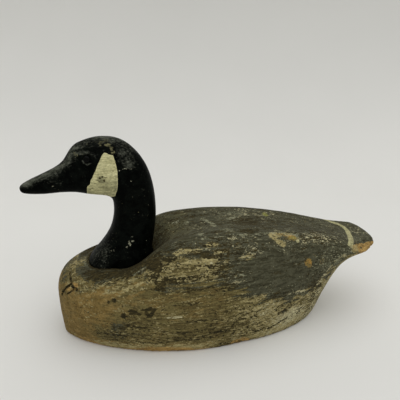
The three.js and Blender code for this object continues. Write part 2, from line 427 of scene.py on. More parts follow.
@dataclass(frozen=True)
class Softwood:
    """Aged white cedar, knife-finished: warm tan with fine darker grain along the block, quite matt.

    Attributes:
        shades: its lighter and its darker wood.
        grain: the length and the width of a line of grain.
        roughness: how matt it is.
        ridge: how far the grain's lines stand up.
    """

    shades: Shades = ("b08a52", "7d5a2e")
    grain: Point = (70.0, 1.7, 3.0)
    roughness: float = 0.8
    ridge: float = 0.24

    def lay(self, tree: bpy.types.NodeTree) -> Surface:
        """Lays the bare wood that every coat goes over.

        Args:
            tree: the material's nodes.

        Returns:
            The wood's surface.
        """
        tone = pattern(tree, self.grain, 3.0, spread=(0.35, 0.65))
        links = {"Factor": tone, 6: linear(self.shades[1]), 7: linear(self.shades[0])}
        colour = add_node(tree, "ShaderNodeMix", links, data_type="RGBA").outputs[2]
        links = {0: pattern(tree, self.grain, 3.0), 1: self.ridge}
        height = add_node(tree, "ShaderNodeMath", links, operation="MULTIPLY").outputs["Value"]
        return Surface(colour, self.roughness, height)


@dataclass(frozen=True)
class PaintedWood:
    """Wood with its coats of paint and wear over it, in the order that they came.

    Attributes:
        name: the finish's name.
        wood: the wood under the paint.
        coats: the coats, first to last.
        speckle: how far the fine speckle lightens and darkens the colour.
        sheen_level: how much the surface reflects.
        grain: the size of a speckle, drawn about twice as coarse as the real one so that it shows.
    """

    name: str
    wood: Softwood
    coats: tuple[Coat, ...]
    speckle: float
    sheen_level: float
    grain: Point = (3.4, 2.4, 2.4)

    def material(self) -> bpy.types.Material:
        """Builds the material.

        Returns:
            The material, with its colour, roughness and bump worked out from the coats' covers.
        """
        material = new_material(self.name)
        tree = material.node_tree
        surface = self.wood.lay(tree)
        speckle = pattern(tree, self.grain, 1.0, 3.0)
        for number, coat in enumerate(self.coats, 1):
            surface = coat.lay(tree, surface, speckle, 11.0 * number)
        links = {"Value": pattern(tree, self.grain, 2.0, 70.0), "From Min": 0.32, "From Max": 0.68}
        links |= {"To Min": 1.0 - self.speckle, "To Max": 1.0 + self.speckle}
        dapple = add_node(tree, "ShaderNodeMapRange", links, clamp=False).outputs["Result"]
        links = {0: 1.0, 6: surface.colour, 7: dapple}
        colour = add_node(tree, "ShaderNodeMix", links, data_type="RGBA", blend_type="MULTIPLY").outputs[2]
        bump = add_node(tree, "ShaderNodeBump", {"Height": surface.height, "Distance": MM, "Strength": 1.0})
        links = {"Base Color": colour, "Roughness": surface.roughness, "Normal": bump.outputs["Normal"]}
        end_material(tree, links | {"IOR": 1.48, "Specular IOR Level": self.sheen_level})
        return material


# Thin oil-based field paint brushed on cedar and worn by years of use: matt, streaked along the grain, with
# each older coat showing through the losses of the next.
BODY_FINISH = PaintedWood(
    name="worn_field_paint_on_cedar",
    wood=Softwood(),
    coats=(
        Coat(Layer.FIELD, ("6f653f", "51472a"), (26.0, 3.0, 2.6), 1.6, 0.10, 0.10, 0.75, grit=0.4),
        Coat(Layer.EARTH, ("867042", "6a572f"), (30.0, 6.0, 5.0), 1.4, 0.40, 0.00, 0.78),
        Coat(Layer.SLATE_AND_SHADE, ("51503e", "373525"), (26.0, 3.2, 3.0), 2.6, 0.05, 0.12, 0.66, grit=1.2),
        Coat(Layer.DUST_AND_SHEEN, ("5b583e", "46432f"), (24.0, 6.0, 6.0), 1.8, 0.50, 0.00, 0.70),
        Coat(Layer.TAN, ("a2966a", "80754d"), (12.0, 3.4, 3.2), 2.6, 0.06, 0.08, 0.72, grit=1.3),
        Coat(Layer.PALE, ("bab38e", "99916e"), (8.0, 2.8, 2.6), 2.2, 0.07, 0.08, 0.72, grit=1.8),
        # Scuffs, and the painted highlight along the crest of the back.
        Coat(Layer.SCUFF_AND_HIGHLIGHT, ("8f8e74", "68674f"), (9.0, 1.8, 1.8), 2.0, 0.08, -0.08, 0.72, grit=2.2),
        Coat(Layer.STRIPE, ("b2ad82", "8a8560"), (3.0, 3.0, 3.0), 0.9, 0.10, 0.10, 0.62, grit=0.4),
        Coat(Layer.OCHRE, ("9a783c", "7a6a3c"), (5.0, 4.0, 4.0), 1.9, 0.35, 0.00, 0.75, grit=1.2),
        Coat(Layer.MOSS, ("8f8d4e", "74753f"), (4.0, 4.0, 4.0), 1.5, 0.30, 0.05, 0.72, grit=1.0),
        Coat(Layer.BARE, ("ab8d55", "80673b"), (16.0, 3.0, 3.0), 1.6, 0.16, -0.12, 0.80, grit=0.8),
        # Grime, and painted shade in the back's hollow, round the foot of the neck and inside the check.
        Coat(Layer.GRIME_AND_SHADE, ("403820", "2a2617"), (10.0, 2.6, 2.4), 2.4, 0.06, -0.05, 0.85, grit=1.5),
        # Black filler paint round the neck, and painted shade deep in the check.
        Coat(Layer.BLACK, ("0b0e0b", "030403"), (9.0, 6.0, 9.0), 0.6, 0.10, 0.10, 0.42, grit=0.4),
    ),
    speckle=0.26,
    sheen_level=0.10,
)

# Black-green oil paint, rubbed by handling to a low sheen, with a cream cheek patch brushed over it. Its own
# reflection is kept very low: the grey sheen on the crown, the bill's ridge, the lids and the knife facets is
# painted into the dust coat, and the lower cheek carries a painted shade film.
HEAD_FINISH = PaintedWood(
    name="rubbed_black_paint_on_cedar",
    wood=Softwood(grain=(3.0, 1.6, 60.0)),
    coats=(
        Coat(Layer.BLACK, ("090c09", "020302"), (9.0, 6.0, 9.0), 0.6, 0.10, 0.12, 0.42, grit=0.3),
        # Painted sheen and highlights on the upper faces, with some rubbed wear.
        Coat(Layer.DUST_AND_SHEEN, ("5d5f54", "31332b"), (9.0, 3.4, 5.0), 1.2, 0.60, 0.00, 0.50, grit=1.6),
        Coat(Layer.EARTH, ("6e6a4c", "3c3a2a"), (6.0, 2.4, 2.6), 2.6, 0.12, -0.06, 0.65, grit=2.0),
        Coat(Layer.CHEEK, ("cac597", "b3ae81"), (16.0, 3.0, 2.0), 0.25, 0.04, 0.15, 0.55, grit=0.0),
        # Painted shade: a grey film over the lower cheek, and the grey of the chip.
        Coat(Layer.SLATE_AND_SHADE, ("8c8a68", "777455"), (10.0, 3.0, 3.0), 1.0, 0.40, 0.00, 0.60, grit=0.8),
        # Scuffs, and a painted glint on the lid.
        Coat(Layer.SCUFF_AND_HIGHLIGHT, ("a6a58e", "6c6b58"), (3.0, 2.0, 2.2), 3.0, 0.10, -0.05, 0.62, grit=1.2),
        Coat(Layer.GRIME_AND_SHADE, ("45391f", "1d1509"), (7.0, 2.4, 1.8), 2.2, 0.12, -0.05, 0.80, grit=1.2),
    ),
    speckle=0.25,
    sheen_level=0.02,
)


@dataclass(frozen=True)
class BlackEnamel:
    """Gloss black enamel on a domed metal tack: dark, smooth, with one small bright glint.

    Attributes:
        name: the finish's name.
        shades: the two colours it varies between.
        roughness: how matt it is where it isn't hazed.
        scratch: the size of a hazed spot, drawn several times as coarse as the real one so that it shows.
    """

    name: str = "gloss_black_enamel"
    shades: Shades = ("0c0d0a", "040504")
    roughness: float = 0.16
    scratch: Point = (1.2, 0.5, 0.5)

    def material(self) -> bpy.types.Material:
        """Builds the material.

        Returns:
            The material, hazed a little in spots.
        """
        material = new_material(self.name)
        tree = material.node_tree
        haze = pattern(tree, self.scratch, 3.0, spread=(0.45, 0.7))
        links = {"Factor": haze, 6: linear(self.shades[1]), 7: linear(self.shades[0])}
        colour = add_node(tree, "ShaderNodeMix", links, data_type="RGBA").outputs[2]
        links = {"Value": haze, "To Min": self.roughness, "To Max": self.roughness * 2}
        rough = add_node(tree, "ShaderNodeMapRange", links).outputs["Result"]
        end_material(tree, {"Base Color": colour, "Roughness": rough, "IOR": 1.5, "Specular IOR Level": 0.05})
        return material


def begin_tree(name: str, inputs: dict[str, str]) -> tuple[bpy.types.NodeTree, bpy.types.NodeOutputs]:
    """Begins a Geometry Nodes tree that takes geometry and named inputs.

    Args:
        name: the tree's name.
        inputs: the kind of each input, by name.

    Returns:
        The tree, and what its inputs give.
    """
    tree = bpy.data.node_groups.new(name, "GeometryNodeTree")
    tree.interface.new_socket("Geometry", in_out="OUTPUT", socket_type="NodeSocketGeometry")
    for label, kind in ({"Geometry": "Geometry"} | inputs).items():
        tree.interface.new_socket(label, in_out="INPUT", socket_type=f"NodeSocket{kind}")
    return tree, add_node(tree, "NodeGroupInput").outputs


def end_tree(
    tree: bpy.types.NodeTree, geometry: bpy.types.NodeSocket, material: bpy.types.NodeSocket
) -> None:
    """Ends a Geometry Nodes tree: its instances are made real and take their material.

    Args:
        tree: the tree.
        geometry: what it has made.
        material: what that is made of.
    """
    single = add_node(tree, "GeometryNodeRealizeInstances", {"Geometry": geometry}).outputs["Geometry"]
    links = {"Geometry": single, "Material": material}
    dressed = add_node(tree, "GeometryNodeSetMaterial", links).outputs["Geometry"]
    add_node(tree, "NodeGroupOutput", {"Geometry": dressed})


@dataclass(frozen=True)
class Weathering:
    """Raised grain and scattered dents, worked over a carved surface by Geometry Nodes.

    Attributes:
        grain: the size of a grain ridge along each axis.
        ridge: how far the ridges stand up.
        dents: how many dents there are to a square metre.
        dent_radius: how wide a dent is.
        dent_depth: how deep a dent is.
        seed: sets where the dents fall.
    """

    grain: Point
    ridge: float
    dents: float
    dent_radius: float
    dent_depth: float
    seed: int

    @staticmethod
    def tree() -> bpy.types.NodeTree:
        """Builds the node tree, or finds it if it is built.

        Returns:
            The tree, whose inputs are named for what they set.
        """
        known = bpy.data.node_groups.get("weathered_wood")
        if known:
            return known
        floats = dict.fromkeys(("Ridge", "Dents", "Dent Radius", "Dent Depth"), "Float")
        inputs = {"Grain": "Vector"} | floats | {"Seed": "Int", "Material": "Material"}
        tree, given = begin_tree("weathered_wood", inputs)
        place = add_node(tree, "GeometryNodeInputPosition").outputs["Position"]
        outward = add_node(tree, "GeometryNodeInputNormal").outputs["Normal"]

        # Raised grain: a noise stretched along the block.
        links = {0: place, 1: given["Grain"]}
        stretched = add_node(tree, "ShaderNodeVectorMath", links, operation="DIVIDE").outputs["Vector"]
        links = {"Vector": stretched, "Scale": 1.0, "Detail": 2.0}
        noise = add_node(tree, "ShaderNodeTexNoise", links).outputs["Fac"]
        links = {"Value": noise, "From Min": 0.3, "From Max": 0.7, "To Min": -1.0, "To Max": 1.0}
        swell = add_node(tree, "ShaderNodeMapRange", links).outputs["Result"]
        links = {0: swell, 1: given["Ridge"]}
        ridges = add_node(tree, "ShaderNodeMath", links, operation="MULTIPLY").outputs["Value"]

        # Dents: round hollows about points scattered over the surface.
        links = {"Mesh": given["Geometry"], "Density": given["Dents"], "Seed": given["Seed"]}
        strikes = add_node(tree, "GeometryNodeDistributePointsOnFaces", links).outputs["Points"]
        nearest = add_node(tree, "GeometryNodeProximity", {0: strikes}, target_element="POINTS")
        links = {"Value": nearest.outputs["Distance"], "From Min": 0.0, "From Max": given["Dent Radius"]}
        links |= {"To Min": given["Dent Depth"], "To Max": 0.0}
        dent = add_node(tree, "ShaderNodeMapRange", links, interpolation_type="SMOOTHSTEP").outputs["Result"]

        # The ridges less the dents, along the way out.
        links = {0: ridges, 1: dent}
        rise = add_node(tree, "ShaderNodeMath", links, operation="SUBTRACT").outputs["Value"]
        links = {0: outward, "Scale": rise}
        move = add_node(tree, "ShaderNodeVectorMath", links, operation="SCALE").outputs["Vector"]
        links = {"Geometry": given["Geometry"], "Offset": move}
        worked = add_node(tree, "GeometryNodeSetPosition", links).outputs["Geometry"]
        end_tree(tree, worked, given["Material"])
        return tree

    def settings(self, material: bpy.types.Material) -> dict[str, object]:
        """Gives what the tree's inputs are set to.

        Args:
            material: what the piece is made of.

        Returns:
            The values by the inputs' names, in metres.
        """
        return {
            "Grain": tuple(size * MM for size in self.grain),
            "Ridge": self.ridge * MM,
            "Dents": self.dents,
            "Dent Radius": self.dent_radius * MM,
            "Dent Depth": self.dent_depth * MM,
            "Seed": self.seed,
            "Material": material,
        }


def link_piece(name: str, mesh: bpy.types.Mesh) -> bpy.types.Object:
    """Puts a mesh into the scene as an object at the origin.

    Args:
        name: the object's name.
        mesh: its mesh.

    Returns:
        The object.
    """
    piece = bpy.data.objects.new(name, mesh)
    bpy.context.scene.collection.objects.link(piece)
    return piece


def run_nodes(piece: bpy.types.Object, tree: bpy.types.NodeTree, settings: dict[str, object]) -> None:
    """Runs a Geometry Nodes tree on a piece and leaves its result as the piece's plain mesh.

    Args:
        piece: the object to work on.
        tree: the tree.
        settings: the tree's inputs by name.
    """
    modifier = piece.modifiers.new(tree.name, "NODES")
    modifier.node_group = tree
    for item in tree.interface.items_tree:
        if item.in_out == "INPUT" and item.name in settings:
            modifier[item.identifier] = settings[item.name]
    bake_modifiers(piece)


def bake_modifiers(piece: bpy.types.Object) -> None:
    """Makes what a piece's modifiers show its plain mesh, and takes the modifiers off.

    Args:
        piece: the object to work on.
    """
    evaluated = piece.evaluated_get(bpy.context.evaluated_depsgraph_get())
    mesh = bpy.data.meshes.new_from_object(evaluated)
    piece.modifiers.clear()
    spent = piece.data
    piece.data = mesh
    bpy.data.meshes.remove(spent)


def read_points(mesh: bpy.types.Mesh) -> tuple[np.ndarray, np.ndarray]:
    """Reads where a mesh's vertices are and which way its surface looks there.

    Args:
        mesh: the mesh.

    Returns:
        The places in millimetres, and the way out at each.
    """
    places = np.empty(len(mesh.vertices) * 3)
    mesh.vertices.foreach_get("co", places)
    outward = np.empty(len(mesh.vertices) * 3, np.float32)
    mesh.vertex_normals.foreach_get("vector", outward)
    return places.reshape(-1, 3) / MM, outward.reshape(-1, 3).astype(float)


def write_points(mesh: bpy.types.Mesh, points: np.ndarray) -> None:
    """Moves a mesh's vertices to places given in millimetres."""
    mesh.vertices.foreach_set("co", (points * MM).astype(np.float32).ravel())
    mesh.update()


@dataclass
class CarvedBlock:
    """A piece carved from one block, cut fine enough to take tool marks, splits and dents.

    Attributes:
        node: the solid whose form it keeps.
        piece: its own name.
        slot: the record's material slot; not used.
        facet: the size of its finest facets.
        sharp: the fold, in degrees, past which an edge of the solid is a real edge.
        fairing: how many times its facets are smoothed.
        finish: its paint.
        weathering: its raised grain and dents.
        grooves: lines cut in it.
        marks: patches and strokes of paint and wear, by layer.
        split_reaches: how near to a split the faces are cut finer, each time that they are.
    """

    node: str
    piece: str
    slot: str
    facet: float
    sharp: float
    fairing: int
    finish: PaintedWood
    weathering: Weathering
    grooves: tuple[Groove, ...]
    marks: Marks
    split_reaches: tuple[float, ...] = (7.0, 4.0)

    def blank(self) -> bpy.types.Object:
        """Makes a fine smooth skin of the solid's form.

        Returns:
            The piece before any relief or paint.
        """
        shell = bmesh.new()
        shell.from_mesh(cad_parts[self.node].data)
        bmesh.ops.remove_doubles(shell, verts=shell.verts, dist=WELD)
        limits = {"angle_face_threshold": math.radians(20), "angle_shape_threshold": math.radians(60)}
        bmesh.ops.join_triangles(shell, faces=shell.faces, **limits)
        crease = shell.edges.layers.float.new("crease_edge")
        for edge in shell.edges:
            folded = len(edge.link_faces) == 2 and edge.calc_face_angle(0.0) > math.radians(self.sharp)
            edge[crease] = 1.0 if folded else 0.0
        mesh = bpy.data.meshes.new(self.piece)
        shell.to_mesh(mesh)
        shell.free()
        mesh.materials.clear()
        piece = link_piece(self.piece, mesh)
        round_off = piece.modifiers.new("round_off", "SUBSURF")
        round_off.levels = round_off.render_levels = 2
        even_out = piece.modifiers.new("even_out", "REMESH")
        even_out.mode = "VOXEL"
        even_out.voxel_size = self.facet * MM
        even_out.use_smooth_shade = True
        fair = piece.modifiers.new("fair", "SMOOTH")
        fair.factor = 0.5
        fair.iterations = self.fairing
        bake_modifiers(piece)
        return piece

    def reshape(self, points: np.ndarray) -> np.ndarray:
        """Gives where each place of the blank is moved to before it is carved."""
        return points

    def relief(self, points: np.ndarray, outward: np.ndarray) -> np.ndarray:
        """Measures how far carving and damage raise the surface.

        Args:
            points: the piece's places.
            outward: the way out at each.

        Returns:
            The rise at each place, below zero where wood is gone.
        """
        total = np.zeros(len(points))
        for groove in self.grooves:
            total += groove.relief(points)
        return total

    def covers(self, points: np.ndarray, outward: np.ndarray) -> dict[Layer, np.ndarray]:
        """Gives each layer's cover at each place, before the marks are added."""
        raise NotImplementedError

    def paint(self, piece: bpy.types.Object) -> None:
        """Writes each layer's cover, with the marks, into the piece's attributes.

        Args:
            piece: the carved piece.
        """
        points, outward = read_points(piece.data)
        covers = self.covers(points, outward)
        for layer, marks in self.marks.items():
            covers[layer] = covers[layer] + sum(mark.cover(points) for mark in marks)
        for layer, cover in covers.items():
            kept = piece.data.attributes.new(layer.value, "FLOAT", "POINT")
            kept.data.foreach_set("value", cover.astype(np.float32))

    def build(self) -> bpy.types.Object:
        """Carves, weathers and paints the piece, and hands it to the frame.

        Returns:
            The finished piece.
        """
        piece = self.blank()
        points, _ = read_points(piece.data)
        write_points(piece.data, self.reshape(points))
        self.refine(piece)
        points, outward = read_points(piece.data)
        write_points(piece.data, points + self.relief(points, outward)[:, None] * outward)
        run_nodes(piece, self.weathering.tree(), self.weathering.settings(self.finish.material()))
        self.settle(piece)
        self.paint(piece)
        piece.data.shade_smooth()
        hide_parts(self.node)
        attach(piece, "root")
        return piece

    def refine(self, piece: bpy.types.Object) -> None:
        """Cuts the faces finer along the sharp splits, so that they can be narrow.

        Args:
            piece: the piece before it is carved.
        """
        splits = [groove for groove in self.grooves if groove.cut is Cut.SPLIT]
        if not splits:
            return
        shell = bmesh.new()
        shell.from_mesh(piece.data)
        for reach in self.split_reaches:
            shell.verts.ensure_lookup_table()
            points = np.array([corner.co[:] for corner in shell.verts]) / MM
            near = np.min([distance_to_path(points, groove.path) for groove in splits], axis=0) < reach
            chosen = [edge for edge in shell.edges if near[edge.verts[0].index] and near[edge.verts[1].index]]
            bmesh.ops.subdivide_edges(shell, edges=chosen, cuts=1, use_grid_fill=True)
            shell.verts.index_update()
        bmesh.ops.triangulate(shell, faces=[face for face in shell.faces if len(face.verts) > 4])
        shell.to_mesh(piece.data)
        shell.free()

    def settle(self, piece: bpy.types.Object) -> None:
        """Leaves the piece inside the solid's own box.

        Args:
            piece: the carved piece.
        """
        low, high = (np.array(corner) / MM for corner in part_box(self.node))
        points, _ = read_points(piece.data)
        write_points(piece.data, np.clip(points, low, high))


# A layer's cover where a zone doesn't name it. A mark has to add more than 1 to show over it.
UNNAMED = -0.6
# How much of a zone each layer covers: half of it at 0.5, all from 1.1 on, and none from -0.3 down.
WEAR: dict[Zone, dict[Layer, float]] = {
    # In the ring round the neck the grime is painted shade round the foot of the neck.
    Zone.RING: {Layer.SLATE_AND_SHADE: 1.2, Layer.GRIME_AND_SHADE: 0.95, Layer.SCUFF_AND_HIGHLIGHT: 0.0},
    Zone.STERN: {Layer.TAN: 0.62, Layer.PALE: 0.5, Layer.SCUFF_AND_HIGHLIGHT: 0.1, Layer.GRIME_AND_SHADE: 0.28},
    Zone.BREAST_TOP: {
        Layer.EARTH: 0.4, Layer.SLATE_AND_SHADE: 0.45, Layer.TAN: 0.36, Layer.PALE: -0.05, Layer.SCUFF_AND_HIGHLIGHT: 0.1,
        Layer.GRIME_AND_SHADE: 0.28,
    },
    Zone.SHOULDER: {Layer.SLATE_AND_SHADE: 0.2, Layer.TAN: 0.7, Layer.PALE: 0.12, Layer.SCUFF_AND_HIGHLIGHT: 0.0, Layer.GRIME_AND_SHADE: 0.34},
    Zone.BACK: {Layer.SLATE_AND_SHADE: 1.1, Layer.TAN: -0.08, Layer.PALE: 0.14, Layer.SCUFF_AND_HIGHLIGHT: 0.12, Layer.GRIME_AND_SHADE: 0.34},
    Zone.REAR_SIDE: {
        Layer.SLATE_AND_SHADE: 1.3, Layer.TAN: -0.3, Layer.PALE: -0.15, Layer.SCUFF_AND_HIGHLIGHT: 0.08, Layer.GRIME_AND_SHADE: 0.1,
    },
    Zone.SIDE: {Layer.SLATE_AND_SHADE: 0.9, Layer.TAN: 0.22, Layer.PALE: 0.12, Layer.SCUFF_AND_HIGHLIGHT: 0.24, Layer.GRIME_AND_SHADE: 0.32},
    Zone.BREAST: {Layer.EARTH: 0.78, Layer.TAN: 0.05, Layer.SCUFF_AND_HIGHLIGHT: -0.3, Layer.GRIME_AND_SHADE: 0.06},
    Zone.REAR_LOW: {Layer.SLATE_AND_SHADE: 0.0, Layer.TAN: 0.76, Layer.PALE: 0.34, Layer.SCUFF_AND_HIGHLIGHT: 0.0, Layer.GRIME_AND_SHADE: 0.26},
    Zone.LOW_FLANK: {
        Layer.EARTH: 0.2, Layer.SLATE_AND_SHADE: -0.1, Layer.TAN: 0.28, Layer.PALE: -0.08, Layer.GRIME_AND_SHADE: 0.38,
    },
    Zone.FLANK: {Layer.EARTH: 0.3, Layer.SLATE_AND_SHADE: -0.3, Layer.TAN: 0.2, Layer.SCUFF_AND_HIGHLIGHT: -0.25, Layer.GRIME_AND_SHADE: 0.13},
}


# Where the check in the breast forks, and where its toe and heel part.
CHECK_FORK: Point = (-231.2, -43.7, 106.7)
CHECK_TOE: Point = (-226.5, -51.0, 101.8)
# The same fork inside the cut, with the way to it from the front.
FORK_INSIDE: Point = (-230.2, -42.6, 106.0)
FRONT_INSIDE: tuple[Point, ...] = ((-245.1, -33.7, 89.1), (-239.1, -37.8, 98.2))
# The rubbed line that runs down from the tail round the stern.
STERN_LINE: tuple[Point, ...] = (
    (216, -58.5, 123.6), (205.8, -60.9, 119.8), (196.5, -63, 114.3), (184.3, -65.6, 101.8),
)

